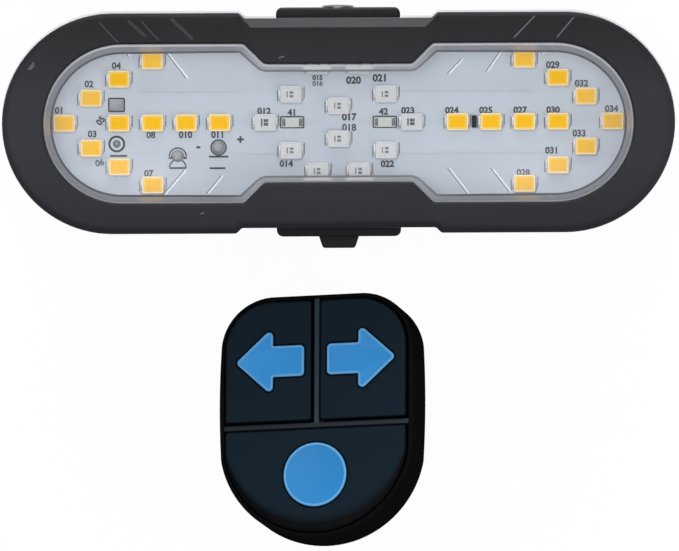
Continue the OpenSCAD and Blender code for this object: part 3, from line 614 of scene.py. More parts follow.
def lay_out(name, pattern, material, spots):
    """Copies of a pattern at (x, y, z, turn, stretch) spots, as one plain mesh piece."""
    mesh = bpy.data.meshes.new(name)
    mesh.from_pydata([s[:3] for s in spots], [], [])
    turns = mesh.attributes.new("turn", "FLOAT", "POINT")
    turns.data.foreach_set("value", [s[3] if len(s) > 3 else 0.0 for s in spots])
    sizes = mesh.attributes.new("stretch", "FLOAT_VECTOR", "POINT")
    sizes.data.foreach_set("vector", [v for s in spots for v in (s[4] if len(s) > 4 else (1.0,) * 3)])
    thing = bpy.data.objects.new(name, mesh)
    scene.collection.objects.link(thing)
    modifier = thing.modifiers.new("lay_out", "NODES")
    modifier.node_group = scatter_tree
    for item in scatter_tree.interface.items_tree:
        if item.name == "Pattern" and item.in_out == "INPUT":
            modifier[item.identifier] = pattern
        if item.name == "Finish" and item.in_out == "INPUT":
            modifier[item.identifier] = material
    bpy.context.view_layer.update()
    plain_mesh(thing)
    thing.data.name = name
    tidy(thing.data)
    bpy.data.objects.remove(pattern)
    return thing


led_path = box_path(LED_LENGTH, LED_WIDTH, LED_ROUND)
BODY_LEVELS = ((0.06 * MM, 0.0), (0.0, 0.1 * MM), (0.0, LED_HEIGHT - 0.1 * MM), (0.08 * MM, LED_HEIGHT),
               (CUP_RIM, LED_HEIGHT), (CUP_RIM + 0.06 * MM, LED_HEIGHT - CUP_DEPTH))
FILL_LEVELS = ((CUP_RIM + 0.06 * MM, LED_HEIGHT - CUP_DEPTH), (CUP_RIM + 0.01 * MM, LED_HEIGHT - 0.08 * MM),
               (CUP_RIM + 0.3 * MM, LED_HEIGHT - RESIN_EDGE), (CUP_RIM + 0.6 * MM, LED_HEIGHT))
cream_package = moulded("cream_package", PACKAGE_CREAM, 0.45, 0.3, 0.2, 0.06)
white_package = moulded("white_package", PACKAGE_WHITE, 0.45, 0.3, 0.2, 0.05)
amber_resin = moulded("amber_resin", AMBER, 0.4, 0.5, 0.15, 0.08, Specular_IOR_Level=0.03)
amber_edge = moulded("amber_edge", AMBER_PALE, 0.4, 0.5, 0.15, 0.08, Specular_IOR_Level=0.03)
clear_resin = moulded("clear_resin", CLEAR_RESIN, 0.4, 0.5, 0.1, 0.05, Specular_IOR_Level=0.25)
tinned = moulded("tinned_tab", TIN, 0.35, 0.15, 0.4, 0.15, Metallic=0.9)


def spots_at(places, mirror=1):
    """Board-top spots for lay_out, mirrored for the left arrow."""
    return [(mirror * x, lamp_y + y, board_top) for x, y in places]


def tabs_at(places, mirror=1):
    """A solder tab at both ends of every package."""
    reach = (LED_LENGTH + TAB_SIZE[0]) / 2 - TAB_UNDER
    return [(mirror * x + side * reach, lamp_y + y, board_top) for x, y in places for side in (-1, 1)]


def small_bar(name, size, bevel=0.0):
    """A box of (length, width, height) that stands on the origin."""
    return block(name, (-size[0] / 2, -size[1] / 2, 0), (size[0] / 2, size[1] / 2, size[2]), bevel)


for side, mirror in (("left", -1), ("right", 1)):
    body = lay_out(f"{side}_arrow_packages", skin("package", rings_of(led_path, BODY_LEVELS)), cream_package,
                   spots_at(arrow_spots, mirror))
    fill = lay_out(f"{side}_arrow_resin", skin("resin", rings_of(led_path, FILL_LEVELS)), amber_resin,
                   spots_at(arrow_spots, mirror))
    fill.data.materials.append(amber_edge)
    for face in fill.data.polygons:
        if face.center.z < board_top + LED_HEIGHT - RESIN_EDGE:
            face.material_index = len(fill.data.materials) - 1
    for thing, node, slot in ((body, f"{side}_signal_leds", "led_package"),
                              (fill, f"{side}_phosphors", "amber_fill")):
        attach(thing, "lamp")
        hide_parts(node)
brake_body = lay_out("brake_ring_packages", skin("package", rings_of(led_path, BODY_LEVELS)), white_package,
                     spots_at(ring_spots))
brake_fill = lay_out("brake_ring_resin", skin("resin", rings_of(led_path, FILL_LEVELS)), clear_resin,
                     spots_at(ring_spots))
for thing, node, slot in ((brake_body, "brake_leds", "led_package"),
                          (brake_fill, "brake_windows", "clear_fill")):
    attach(thing, "lamp")
    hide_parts(node)
emitter_tabs = lay_out("emitter_tabs", small_bar("tab", TAB_SIZE, TAB_BEVEL), tinned,
                       tabs_at(arrow_spots) + tabs_at(arrow_spots, -1) + tabs_at(ring_spots))
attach(emitter_tabs, "lamp")

DIE_GREY = (0.10, 0.105, 0.11)
DIE_DARK = (0.018, 0.019, 0.022)
DIES = ((-0.6, 0.0, 0.2, 1.0), (0.1, 0.3, 0.62, 0.4), (0.1, -0.3, 0.62, 0.4))
DIE_SUNK = 0.02 * MM
DIE_RISE = 0.015 * MM
dies = []
for grey, grow, places in ((DIE_DARK, 1.25, ring_spots[:2]), (DIE_GREY, 1.0, ring_spots[2:])):
    die = small_bar("die", (MM, MM, DIE_SUNK + DIE_RISE))
    die_spots = [(x + a * MM, lamp_y + y + b * MM, board_top + LED_HEIGHT - DIE_SUNK, 0.0,
                  (grow * wide, grow * high, 1.0)) for x, y in places for a, b, wide, high in DIES]
    dies.append(lay_out("dies", die, moulded("die_grey", grey, 0.35, 0.2, 0.2), die_spots))
emitter_dies = join("emitter_dies", dies)
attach(emitter_dies, "lamp")

# Indicator chips, solder joints and the board's print: small chip lamps by the brake ring,
# tinned pads where the leads and the aerial are soldered, and the marks screened on the mask.
CHIP_LAMP = (0.34, 0.375, 0.36)
PRINT_INK = (0.022, 0.025, 0.032)
PRINT_LIFT = 0.03 * MM
FRAME_ROUND = 0.25 * MM
CHIP_HALF = 1.6 * MM
CHIP_FRAME = (4.0 * MM, 2.0 * MM, 0.2 * MM)
CAP_REACH = 1.35 * MM
CAP_BEVEL = 0.08 * MM
END_CAP = (0.55 * MM, 1.3 * MM, 0.62 * MM)
BRACKET = (0.1 * MM, 1.9 * MM, PRINT_LIFT)
BRACKET_REACH = (2.2 * MM, 0.3 * MM)
dress(moulded("chip_lamp", CHIP_LAMP, 0.3, 0.3, 0.2, 0.08, Coat_Weight=0.5), "indicator_leds")
print_ink = moulded("print_ink", PRINT_INK, 0.6, 0.15, 0.2, 0.3)


def lathe(name, profile, *materials, sides=40):
    """A turned piece about Z from (radius, height) points."""
    rings = [[(x, y, z) for x, y in circle(radius, sides)] for radius, z in profile]
    return skin(name, rings, *materials)


def print_frame(name, length, width, line):
    """A flat outline in print ink about the origin."""
    levels = ((0.0, 0.0), (line, 0.0), (line, PRINT_LIFT), (0.0, PRINT_LIFT))
    return skin(name, rings_of(box_path(length, width, FRAME_ROUND), levels), around=True)


indicator_low, indicator_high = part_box("indicator_leds")
indicator_x = indicator_high.x - CHIP_HALF
indicator_y = (indicator_low.y + indicator_high.y) / 2
marks = [lay_out("chip_outlines", print_frame("outline", *CHIP_FRAME), print_ink,
                 [(side * indicator_x, indicator_y, board_top) for side in (-1, 1)])]
cap_spots = [(side * indicator_x + end * CAP_REACH, indicator_y, board_top)
             for side in (-1, 1) for end in (-1, 1)]
chip_caps = lay_out("chip_caps", small_bar("cap", END_CAP, CAP_BEVEL),
                    moulded("cap_grey", DIE_GREY, 0.4, 0.2, 0.3), cap_spots)
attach(chip_caps, "lamp")
package_spots = arrow_spots + [(-x, y) for x, y in arrow_spots] + ring_spots
bracket_spots = [(x + side * BRACKET_REACH[0], lamp_y + y + side * BRACKET_REACH[1], board_top)
                 for x, y in package_spots for side in (-1, 1)]
marks.append(lay_out("package_brackets", small_bar("bracket", BRACKET), print_ink, bracket_spots))


RING_STEPS = 32


def print_ring(name, radius, line, half=False):
    """A flat round outline in print ink about the origin, or its upper half."""
    rings = []
    for r, z in ((radius, 0.0), (radius, PRINT_LIFT), (radius - line, PRINT_LIFT), (radius - line, 0.0)):
        points = swing(0.0, 0.0, r, 0.0, math.pi, RING_STEPS) if half else circle(r, RING_STEPS)
        rings.append([(x, y, z) for x, y in points])
    if half:
        return skin(name, [list(section) for section in zip(*rings)])
    return skin(name, rings, around=True)


def mark(name, pattern, x, y, stretch=(1.0, 1.0, 1.0)):
    """Prints a pattern on the board, at a place in millimetres from the lamp's middle."""
    marks.append(lay_out(name, pattern, print_ink, [(x * MM, lamp_y + y * MM, board_top, 0.0, stretch)]))


PLUS_SPOT = (-19.7, -4.15)
MINUS_SPOT = (-26.4, -5.5)
GROUND_SPOT = (-36.4, -3.5)
AERIAL_SPOT = (-36.4, 2.9)
SOLDER_GREY = (0.19, 0.2, 0.215)
BUMP = ((1.0, 0.0), (0.97, 0.07), (0.8, 0.15), (0.5, 0.19), (0.05, 0.2))
BUMP_SIZES = ((GROUND_SPOT, 0.45), (PLUS_SPOT, 1.06), (MINUS_SPOT, 1.0))
AERIAL_PAD = (2.4 * MM, 2.0 * MM, 0.15 * MM)
AERIAL_BEVEL = 0.06 * MM
AERIAL_FRAME = (2.8 * MM, 2.4 * MM, 0.24 * MM)
PAD_RINGS = (("pad_rings", GROUND_SPOT, 1.38 * MM, 0.34 * MM),
             ("pad_eyes", GROUND_SPOT, 0.62 * MM, 0.12 * MM),
             ("plus_frame", PLUS_SPOT, 1.36 * MM, 0.24 * MM))
MINUS_ARCS = ((1.5 * MM, -0.1), (1.12 * MM, -0.25), (1.45 * MM, -1.9))
ARC_LINE = 0.22 * MM
DASH = (1.0 * MM, 0.3 * MM, PRINT_LIFT)
solder_tin = moulded("solder_tin", SOLDER_GREY, 0.4, 0.2, 0.6, 0.2, Metallic=0.4)
bump = lathe("bump", [(r * MM, h * MM) for r, h in BUMP])
bumps = lay_out("bumps", bump, solder_tin, [(x * MM, lamp_y + y * MM, board_top, 0.0, (size, size, 1.0))
                                            for (x, y), size in BUMP_SIZES])
aerial_pad = lay_out("aerial_pad", small_bar("pad", AERIAL_PAD, AERIAL_BEVEL), solder_tin,
                     [(AERIAL_SPOT[0] * MM, lamp_y + AERIAL_SPOT[1] * MM, board_top)])
solder_bumps = join("solder_bumps", [bumps, aerial_pad])
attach(solder_bumps, "lamp")
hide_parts("solder_joints")
for name, spot, radius, line in PAD_RINGS:
    mark(name, print_ring("ring", radius, line), *spot)
mark("aerial_frame", print_frame("frame", *AERIAL_FRAME), *AERIAL_SPOT)
plus_x, plus_y = PLUS_SPOT
minus_x, minus_y = MINUS_SPOT
for radius, drop in MINUS_ARCS:
    mark("minus_arcs", print_ring("arc", radius, ARC_LINE, True), minus_x, minus_y + drop)
DASHES = ((minus_x, minus_y - 0.35, 3.0), (minus_x, minus_y - 2.0, 2.7), (plus_x, plus_y - 1.5, 3.2),
          (plus_x - 0.2, plus_y - 3.4, 2.6), (-36.1, -5.45, 2.8))
for x, y, length in DASHES:
    mark("pad_dashes", small_bar("dash", DASH), x, y, (length, 1.0, 1.0))


BOLD = 0.04
BOLD_ROUND = 0.025


def print_text(body, x, y, height=1.45, turn=0.0):
    """Plain signs screened on the board, as a flat mesh about a spot; round digits are less bold."""
    curve = bpy.data.curves.new("sign", "FONT")
    curve.body, curve.size = body, height * MM
    curve.offset = (BOLD_ROUND if set(body) & set("68") else BOLD) * height * MM
    curve.align_x, curve.align_y = "CENTER", "CENTER"
    sign = bpy.data.objects.new("sign", curve)
    scene.collection.objects.link(sign)
    bpy.context.view_layer.update()
    graph = bpy.context.evaluated_depsgraph_get()
    mesh = bpy.data.meshes.new_from_object(sign.evaluated_get(graph), depsgraph=graph)
    mesh.transform(Matrix.Translation((x * MM, lamp_y + y * MM, board_top + PRINT_LIFT))
                   @ Matrix.Rotation(math.radians(turn), 4, "Z"))
    mesh.materials.append(print_ink)
    bpy.data.objects.remove(sign)
    thing = bpy.data.objects.new("sign", mesh)
    scene.collection.objects.link(thing)
    return thing


SIGN_HEIGHT = 2.0
NUMBERS = (
    ("01", -45.8, 2.0), ("02", -40.9, 6.3), ("03", -40.4, -1.9), ("04", -36.4, 9.3), ("07", -31.2, -8.4),
    ("08", -30.8, -2.1), ("010", -25.1, -2.1), ("011", -19.8, -2.1), ("012", -12.2, 1.75), ("41", -7.6, 1.5),
    ("015", -3.4, 7.2, 1.1), ("016", -3.4, 6.25, 1.1), ("014", -8.6, -6.9), ("017", 1.75, 0.72, 1.55),
    ("018", 1.75, -1.0, 1.55), ("020", 2.5, 6.75, 1.6), ("021", 6.85, 7.1, 1.6), ("42", 7.4, 1.6),
    ("023", 11.4, 1.75), ("022", 8.0, -7.0), ("024", 18.6, 1.75), ("025", 24.2, 1.75), ("027", 29.8, 1.75),
    ("028", 30.3, -8.5), ("029", 35.2, 9.15), ("030", 35.2, 1.75), ("031", 35.0, -4.9), ("032", 39.9, 6.1),
    ("033", 39.5, -2.1), ("034", 44.8, 1.9), ("05", -39.0, 0.3, 1.45, 50), ("06", -39.2, -6.6, 1.45, 15))
for body, x, y, *form in NUMBERS:
    marks.append(print_text(body, x, y, *form))
marks.append(print_text("+", plus_x + 3.6, plus_y + 1.2, SIGN_HEIGHT))
marks.append(print_text("-", minus_x + 3.4, minus_y + 1.55, SIGN_HEIGHT))
board_print = join("board_print", marks)
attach(board_print, "lamp")

# Charging socket and side switch: a folded steel shell with a black tongue, and a push switch
# behind the power key, both soldered under the board's long edges.
STEEL = (0.50, 0.50, 0.52)
IVORY = (0.62, 0.58, 0.46)
bright_steel = moulded("bright_steel", STEEL, 0.3, 0.25, 0.3, 0.08, Metallic=1.0)
ivory_plastic = moulded("ivory_plastic", IVORY, 0.45, 0.25, 0.3, 0.06)
dress(bright_steel, "usb_socket")
dress(chip_resin, "usb_tongue", "power_switch")
dress(ivory_plastic, "power_plunger")

# Lens gasket and lens: a soft seal on the tub's rim, and one clear polycarbonate moulding.
# Its flange shows as an edge behind the bezel, flush at the power pad, painted pale as a painted highlight; its
# face fills the window.
GASKET_GREY = (0.035, 0.035, 0.037)
dress(moulded("gasket_rubber", GASKET_GREY, 0.7, 0.3, 0.4), "lens_gasket")

WINDOW_SIDE = 4.95 * MM
WINDOW_END = 6.7 * MM
THROAT_LENGTH = 24.2 * MM
THROAT_WIDTH = 19.4 * MM
WINDOW_ROUND = 1.1 * MM
LENS_GAP = 0.1 * MM
LENS_WALL = 1.2 * MM
LENS_SKIN = 1.8 * MM
LENS_ROUND = 0.4 * MM
LENS_EDGE = 0.22 * MM
BAND_WIDTH = 1.12 * MM
LINE_WIDTH = 0.34 * MM
THROAT_PULL = 0.34 * MM
THROAT_FADE = (17.5 * MM, 13.5 * MM)
LIP_IN = 0.05 * MM
LIP_RISE = 0.2 * MM
PAD_CLEAR = 0.15 * MM
LENS_IOR = 1.45
SHEEN = 0.3
SHEEN_START = 0.03
SMEAR_SCALE = 90.0
SMEAR_RELIEF = 0.05
SMEAR_DEPTH = 0.1 * MM
SMEAR_TINT = 0.1
HAZE_LEAST = 0.8
HAZE_SPREAD = 0.4
AMBER_ROW = 30.6 * MM
AMBER_SPREAD = (2.6 * MM, 1.2 * MM)
AMBER_EDGE_Y = (10.5 * MM, 11.0 * MM)
AMBER_END_X = (45.0 * MM, 46.0 * MM)
AMBER_END_Y = (2.4 * MM, 0.8 * MM)
WHITE_ROW = 3.45 * MM
WHITE_SPREAD = (2.6 * MM, 1.9 * MM)
MIST_LOWER_Y = (-3.5 * MM, -7.5 * MM)
MIST_UPPER_Y = (8.8 * MM, 10.2 * MM)
MIST_UPPER = 0.45
MIST_ROWS_X = (20.0 * MM, 30.0 * MM)
MIST_ENDS_X = (37.0 * MM, 41.0 * MM)
MIST_ENDS = 0.55
lens_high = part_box("lens")[1]
lens_lip = lens_high.x - bezel_high.x
flange_z0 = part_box("lens_gasket")[1].z
flange_z1 = bezel_low.z
lens_top = lens_high.z


def window_ring(inset, z):
    """One ring of the window's outline, moved inwards by inset."""
    width = lamp_width - 2 * WINDOW_SIDE
    corners = notched_stadium(lamp_length - 2 * WINDOW_END, width, THROAT_LENGTH / 2,
                              (width - THROAT_WIDTH) / 2, WINDOW_ROUND)
    return [(x, y + lamp_y, z) for x, y in rounded_path(shrunk(corners, inset))]


def ramp(value, start, end):
    """Rises from 0 where the value is at start to 1 where it is at end."""
    return value.add("ShaderNodeMapRange", inputs={0: value, 1: start, 2: end})


def clear_plastic(name, body, haze, shine=0.08, mist=0.0, glow=None, throat=None):
    """Clear polycarbonate: see-through, with a sheen by angle and a share of body colour; it casts no shade.

    Mist adds body colour towards the lens's ends and long edges. Glow is painted light: the share of amber and of
    white painted on the rim beside the emitters, for the light it picks up from them. Throat is a lighter body
    colour painted where the lens is narrow, as a painted highlight.
    """
    material, shader, wire = finish(name, Roughness=0.08, Specular_IOR_Level=shine)
    place = wire.add("ShaderNodeTexCoord", output="Object")
    smear = wire.add("ShaderNodeTexNoise", inputs={"Vector": place, "Scale": SMEAR_SCALE, "Detail": 3.0})
    across = wire.add("ShaderNodeSeparateXYZ", inputs={0: place}).size()
    along = wire.add("ShaderNodeSeparateXYZ", inputs={0: place}, output=1) - lamp_y
    colour = smear.mix(tone(body, 1 - SMEAR_TINT), tone(body, 1 + SMEAR_TINT))
    # Painted highlight: the throat colour lightens the lens where it is narrow.
    if throat:
        colour = ramp(across, *THROAT_FADE).mix(colour, throat + (1.0,))
    # Painted light: amber near the arrows' rows and ends and white near the brake ring's row are painted into the
    # rim's colour.
    if glow:
        end = ramp(along.size(), *AMBER_END_Y) * ramp(across, *AMBER_END_X)
        edge = ramp((across - AMBER_ROW).size(), *AMBER_SPREAD) * ramp(along.size(), *AMBER_EDGE_Y)
        colour = ((end + edge) * glow[0]).mix(colour, AMBER + (1.0,))
        white = ramp((across - WHITE_ROW).size(), *WHITE_SPREAD) * glow[1]
        colour = white.mix(colour, (1.0, 1.0, 1.0, 1.0))
    wire.feed(shader.inputs["Base Color"], colour)
    if mist:
        rows = wire.math("MAXIMUM", ramp(along, *MIST_LOWER_Y), ramp(along, *MIST_UPPER_Y) * MIST_UPPER)
        ends = ramp(across, *MIST_ENDS_X) * MIST_ENDS
        haze = wire.math("MAXIMUM", rows * ramp(across, *MIST_ROWS_X), ends) * mist + haze
    bump = {"Strength": SMEAR_RELIEF, "Distance": SMEAR_DEPTH, "Height": smear}
    wire.feed(shader.inputs["Normal"], wire.add("ShaderNodeBump", inputs=bump))
    open_air = wire.add("ShaderNodeBsdfTransparent")
    facing = wire.add("ShaderNodeFresnel", inputs={"IOR": LENS_IOR})
    lit = 1.0 - wire.add("ShaderNodeLightPath", output="Is Shadow Ray")
    share = ((facing - SHEEN_START) * SHEEN + (smear * HAZE_SPREAD + HAZE_LEAST) * haze) * lit
    plastic = Wire(wire.tree, shader.outputs["BSDF"])
    cover = wire.add("ShaderNodeMixShader", inputs={0: share, 1: open_air, 2: plastic})
    wire.feed(material.node_tree.nodes["Material Output"].inputs["Surface"], cover)
    return material


# Painted light and shade on the lens: the band's grey and the line's dark stand for the wall and its shade seen
# through the face, the edge and the lip are painted pale as highlights where light catches them, and the lip's
# side is painted grey as shade.
lens_clear = clear_plastic("lens_clear", (0.78, 0.79, 0.92), 0.006, 0.5, mist=0.045)
lens_band = clear_plastic("lens_band", (0.145, 0.15, 0.172), 0.85, glow=(0.12, 0.22),
                          throat=(0.23, 0.233, 0.26))
lens_line = clear_plastic("lens_line", (0.055, 0.057, 0.068), 0.92, throat=(0.12, 0.123, 0.138))
lens_edge = clear_plastic("lens_edge", (0.29, 0.295, 0.31), 0.88)
lip_pale = clear_plastic("lip_pale", (0.78, 0.79, 0.81), 0.9)
lip_side = clear_plastic("lip_side", (0.42, 0.43, 0.45), 0.85)


def band_ring(inset):
    """One ring on the lens's face, which lies nearer to the edge where the lens is narrow."""
    ring = []
    for x, y, z in window_ring(LENS_GAP + inset, lens_top):
        pull = (THROAT_FADE[0] - abs(x)) / (THROAT_FADE[0] - THROAT_FADE[1])
        ring.append((x, y + math.copysign(THROAT_PULL * min(1.0, max(0.0, pull)), y - lamp_y), z))
    return ring


def flange_ring(inset, z):
    """One ring of the flange's outline, which stands out further along the upper edge."""
    return [(x, y + (LIP_RISE if y > lamp_y else 0.0), z) for x, y, z in lamp_ring(inset, z)]


lens_rings = [window_ring(LENS_GAP + LENS_WALL, lens_top - LENS_SKIN),
              window_ring(LENS_GAP + LENS_WALL, flange_z0), flange_ring(-lens_lip, flange_z0),
              flange_ring(-lens_lip, flange_z1), lamp_ring(LIP_IN, flange_z1),
              window_ring(LENS_GAP, flange_z1)]
lens_rings += [window_ring(LENS_GAP + side, lens_top - LENS_ROUND + up) for side, up in arc(LENS_ROUND, 5)]
line_ring = band_ring(BAND_WIDTH + LINE_WIDTH)
lens_rings += [band_ring(BAND_WIDTH), line_ring]
lens = skin("clear_lens", lens_rings, lens_clear, lens_band, lens_line, lens_edge, lip_pale, lip_side)
BAND, LINE, EDGE, LIP, SIDE = range(1, 6)
NEAR = 1e-6
edge_z = lens_top - LENS_ROUND + math.sqrt(LENS_ROUND ** 2 - (LENS_ROUND - LENS_EDGE) ** 2)
for face in lens.data.polygons:
    if len(face.vertices) > 4:
        continue
    z = face.center.z
    spans = [lens.data.vertices[v].co for v in face.vertices]
    wide = min((spans[1] - spans[2]).length, (spans[0] - spans[3]).length)
    if z > lens_top - NEAR:
        inner = any((corner - Vector(point)).length < 2 * NEAR for corner in spans for point in line_ring)
        face.material_index = LINE if inner else BAND
    elif z > edge_z:
        face.material_index = BAND
    elif z > lens_top - LENS_ROUND:
        face.material_index = EDGE
    elif flange_z0 + NEAR < z < flange_z1 - NEAR:
        face.material_index = SIDE
    elif abs(z - flange_z1) < NEAR and wide < 1.5 * (lens_lip + LIP_RISE + LIP_IN):
        face.material_index = LIP
notch_y = lamp_y + lamp_width / 2 - NOTCH_DEPTH
pad_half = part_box("power_pad")[1].x + PAD_CLEAR
carve(lens, block("lip_gap", (-pad_half, notch_y, flange_z0 - MM),
                  (pad_half, notch_y + MM, flange_z1 + MM), 0.0))
for face in lens.data.polygons:
    if abs(face.center.y - notch_y) < 10 * NEAR and abs(face.normal.y) > 0.9:
        face.material_index = SIDE
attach(lens, "lamp")
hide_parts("lens")

# Lens flutes: fine slanted lines moulded under the lens face, in chevrons that lean outwards.
# They are short clear ridges near the long edges of the face, painted pale as a painted highlight, each with a
# grey copy beside it as its painted shadow.
FLUTE_WIDTH = 0.16 * MM
FLUTE_RISE = 0.05 * MM
FLUTE_SHADE = -0.32
FLUTE_LINES = ((18.1, 8.0, 20.5, 10.5), (24.4, 8.3, 27.1, 12.2), (33.4, 11.2, 34.2, 12.1),
               (-27.7, 11.5, -24.6, 7.5), (-34.4, 11.6, -33.9, 11.0),
               (-28.4, -11.6, -24.9, -7.5), (-21.3, -11.4, -18.9, -8.5),
               (21.3, -11.6, 18.1, -7.4), (28.2, -11.4, 25.1, -7.4))
flute_pale = clear_plastic("flute_pale", (0.82, 0.86, 0.92), 0.5)
flute_grey = clear_plastic("flute_grey", (0.10, 0.105, 0.12), 0.45)


def lines_at(lines, z):
    """Spots, turns and lengths for slanted lines given by their ends in millimetres."""
    spots = []
    for x0, y0, x1, y1 in lines:
        length = math.hypot(x1 - x0, y1 - y0)
        spots.append(((x0 + x1) / 2 * MM, lamp_y + (y0 + y1) / 2 * MM, z,
                      math.atan2(y1 - y0, x1 - x0), (length, 1.0, 1.0)))
    return spots


flutes = []
for shift, tint in ((0.0, flute_pale), (FLUTE_SHADE, flute_grey)):
    ridge = small_bar("ridge", (MM, FLUTE_WIDTH, 2 * FLUTE_RISE))
    shifted = [(x0 + shift, y0, x1 + shift, y1) for x0, y0, x1, y1 in FLUTE_LINES]
    flutes.append(lay_out("flutes", ridge, tint, lines_at(shifted, lens_top - LENS_SKIN - 2 * FLUTE_RISE)))
lens_flutes = join("lens_flutes", flutes)
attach(lens_flutes, "lamp")

# Bezel: the charcoal front frame, moulded with a satin speckled face, with painted shade that darkens it towards
# its long edges.
# It clamps the lens flange on the tub, its outer edge is round, and a wide slope with mitred ends runs
# along its upper indent.
BEZEL_CHARCOAL = (0.0205, 0.021, 0.0262)
LONG_EDGE_SHADE = 0.3
LONG_EDGE_FADE = (5.0 * MM, 18.0 * MM)
LOWER_SHARE = 0.5
EDGE_WIDTH = 1.5 * MM
EDGE_DROP = 0.85 * MM
WINDOW_EDGE_ROUND = 0.35 * MM
WINDOW_EDGE_FLAT = 0.1 * MM
SLOPE = 1.4 * MM
SLOPE_REACH = 0.3 * MM
SLOPE_FACING = 0.6
bezel_satin = moulded("bezel_satin", BEZEL_CHARCOAL, 0.5, 0.2, 0.9, 0.22, Specular_IOR_Level=0.13)


def colour_of(material):
    """A moulded material's colour socket, the place on the piece, and the colour it has so far."""
    target = material.node_tree.nodes["Principled BSDF"].inputs["Base Color"]
    wire = Wire(material.node_tree)
    face = Wire(wire.tree, target.links[0].from_socket)
    return target, wire.add("ShaderNodeTexCoord", output="Object"), face


# Painted shade: the face's colour is darkened towards the upper long edge, and half as much towards the lower one.
bezel_colour, bezel_place, bezel_face = colour_of(bezel_satin)
bezel_y = bezel_place.add("ShaderNodeSeparateXYZ", inputs={0: bezel_place}, output=1) - lamp_y
long_edge_shade = bezel_place.math("MAXIMUM", ramp(bezel_y, *LONG_EDGE_FADE),
                             ramp(0.0 - bezel_y, *LONG_EDGE_FADE) * LOWER_SHARE)
bezel_place.feed(bezel_colour, long_edge_shade.mix(bezel_face, tone(BEZEL_CHARCOAL, LONG_EDGE_SHADE)))
bezel_rings = [window_ring(0.0, bezel_low.z), lamp_ring(0.0, bezel_low.z)]
bezel_rings += [lamp_ring(side * EDGE_WIDTH, bezel_high.z - EDGE_DROP * (1 - up))
                for side, up in arc(1.0, 9)]
bezel_rings += [window_ring(-WINDOW_EDGE_ROUND - WINDOW_EDGE_FLAT, bezel_high.z)]
bezel_rings += [window_ring(side - WINDOW_EDGE_ROUND, bezel_high.z - up)
                for up, side in arc(WINDOW_EDGE_ROUND, 4)]
bezel = skin("charcoal_bezel", bezel_rings, bezel_satin, around=True, crease=20)
wedge = []
for y, z in ((notch_y - SLOPE - MM, bezel_high.z + MM), (notch_y + MM, bezel_high.z - SLOPE - MM),
             (notch_y + MM, bezel_high.z + MM)):
    half = NOTCH_LENGTH / 2 + SLOPE_REACH + y - notch_y
    wedge += [(-half, y, z), (half, y, z)]
WEDGE_FACES = ((0, 2, 4), (1, 5, 3), (0, 1, 3, 2), (2, 3, 5, 4), (4, 5, 1, 0))
carve(bezel, piece("wedge", wedge, WEDGE_FACES), crease=20)
bezel_slope = moulded("bezel_slope", BEZEL_CHARCOAL, 0.42, 0.2, 0.6, 0.22, Specular_IOR_Level=0.15)
paint(bezel, bezel_satin, bezel_slope)
for face in bezel.data.polygons:
    if min(face.normal.y, face.normal.z) > SLOPE_FACING and abs(face.center.x) < NOTCH_LENGTH / 4:
        face.material_index = 1
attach(bezel, "lamp")
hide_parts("bezel")

# Bezel lines: fine slanted ridges moulded on the upper edge of the bezel, leaning outwards.
# They are polished a little brighter than the satin face.
CRISP_LINES = ((28.7, 13.9, 32.1, 17.4), (35.7, 13.9, 38.5, 17.2), (-9.7, 10.75, -8.8, 11.0),
               (-50.6, 9.0, -49.7, 10.2), (-50.3, 9.0, -49.6, 9.8), (-22.6, -14.7, -22.0, -14.5))
FAINT_LINES = ((-39.0, 16.7, -35.9, 13.3), (-32.1, 16.8, -29.3, 13.7))
DIM_LINES = ((-34.3, 16.95, -31.4, 14.3), (-27.25, 17.2, -23.7, 13.8))
LINE_RISE = 0.03 * MM
ridges = []
for lines, width, grey in ((CRISP_LINES, 0.2 * MM, 0.1), (FAINT_LINES, 0.2 * MM, 0.042),
                           (DIM_LINES, 0.55 * MM, 0.026)):
    line_grey = moulded("line_grey", (grey, grey, 1.25 * grey), 0.45, 0.2, 0.3, Specular_IOR_Level=0.15)
    ridge = small_bar("ridge", (MM, width, 2 * LINE_RISE))
    ridges.append(lay_out("bezel_lines", ridge, line_grey, lines_at(lines, bezel_high.z - LINE_RISE)))
bezel_lines = join("bezel_lines", ridges)
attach(bezel_lines, "lamp")

# Housing screws: small plated screws with a domed head and a cross recess.
# They go in from the back, through the tub and the lens flange, into the bezel.
SCREW_HEAD_R = 1.6 * MM
SCREW_HEAD_H = 1.3 * MM
SCREW_SHANK_R = 0.95 * MM
CROSS_HALF = (1.05 * MM, 0.28 * MM)
CROSS_DEPTH = 0.7 * MM
DOME_SHARE = 0.55
DOME_STEPS = 6
SCREW_TIP_R = 0.3 * MM
SCREW_TURN = 0.4
SCREW_TURN_STEP = 0.7
screw_low, screw_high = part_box("housing_screws")


def cross_screw(head_r, head_h, shank_r, length):
    """A screw with its head down: a domed head, a cross recess and a plain shank."""
    turns = [math.pi / 2 * k / DOME_STEPS for k in range(1, DOME_STEPS + 1)]
    profile = [(head_r * math.sin(t), head_h * DOME_SHARE * (1 - math.cos(t))) for t in turns]
    profile += [(head_r, head_h), (shank_r, head_h), (shank_r, length - shank_r), (SCREW_TIP_R, length)]
    screw = lathe("screw", profile)
    scale = head_r / SCREW_HEAD_R
    long, narrow, deep = CROSS_HALF[0] * scale, CROSS_HALF[1] * scale, CROSS_DEPTH * scale
    carve(screw, block("cross", (-long, -narrow, -MM), (long, narrow, deep), 0.0))
    carve(screw, block("cross", (-narrow, -long, -MM), (narrow, long, deep), 0.0))
    return screw


screw = cross_screw(SCREW_HEAD_R, SCREW_HEAD_H, SCREW_SHANK_R, screw_high.z - screw_low.z)
screws = lay_out("cross_screws", screw, bright_steel,
                 [(x, y, screw_low.z, SCREW_TURN + SCREW_TURN_STEP * k)
                  for k, (x, y) in enumerate(screw_spots)])
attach(screws, "lamp")
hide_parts("housing_screws")

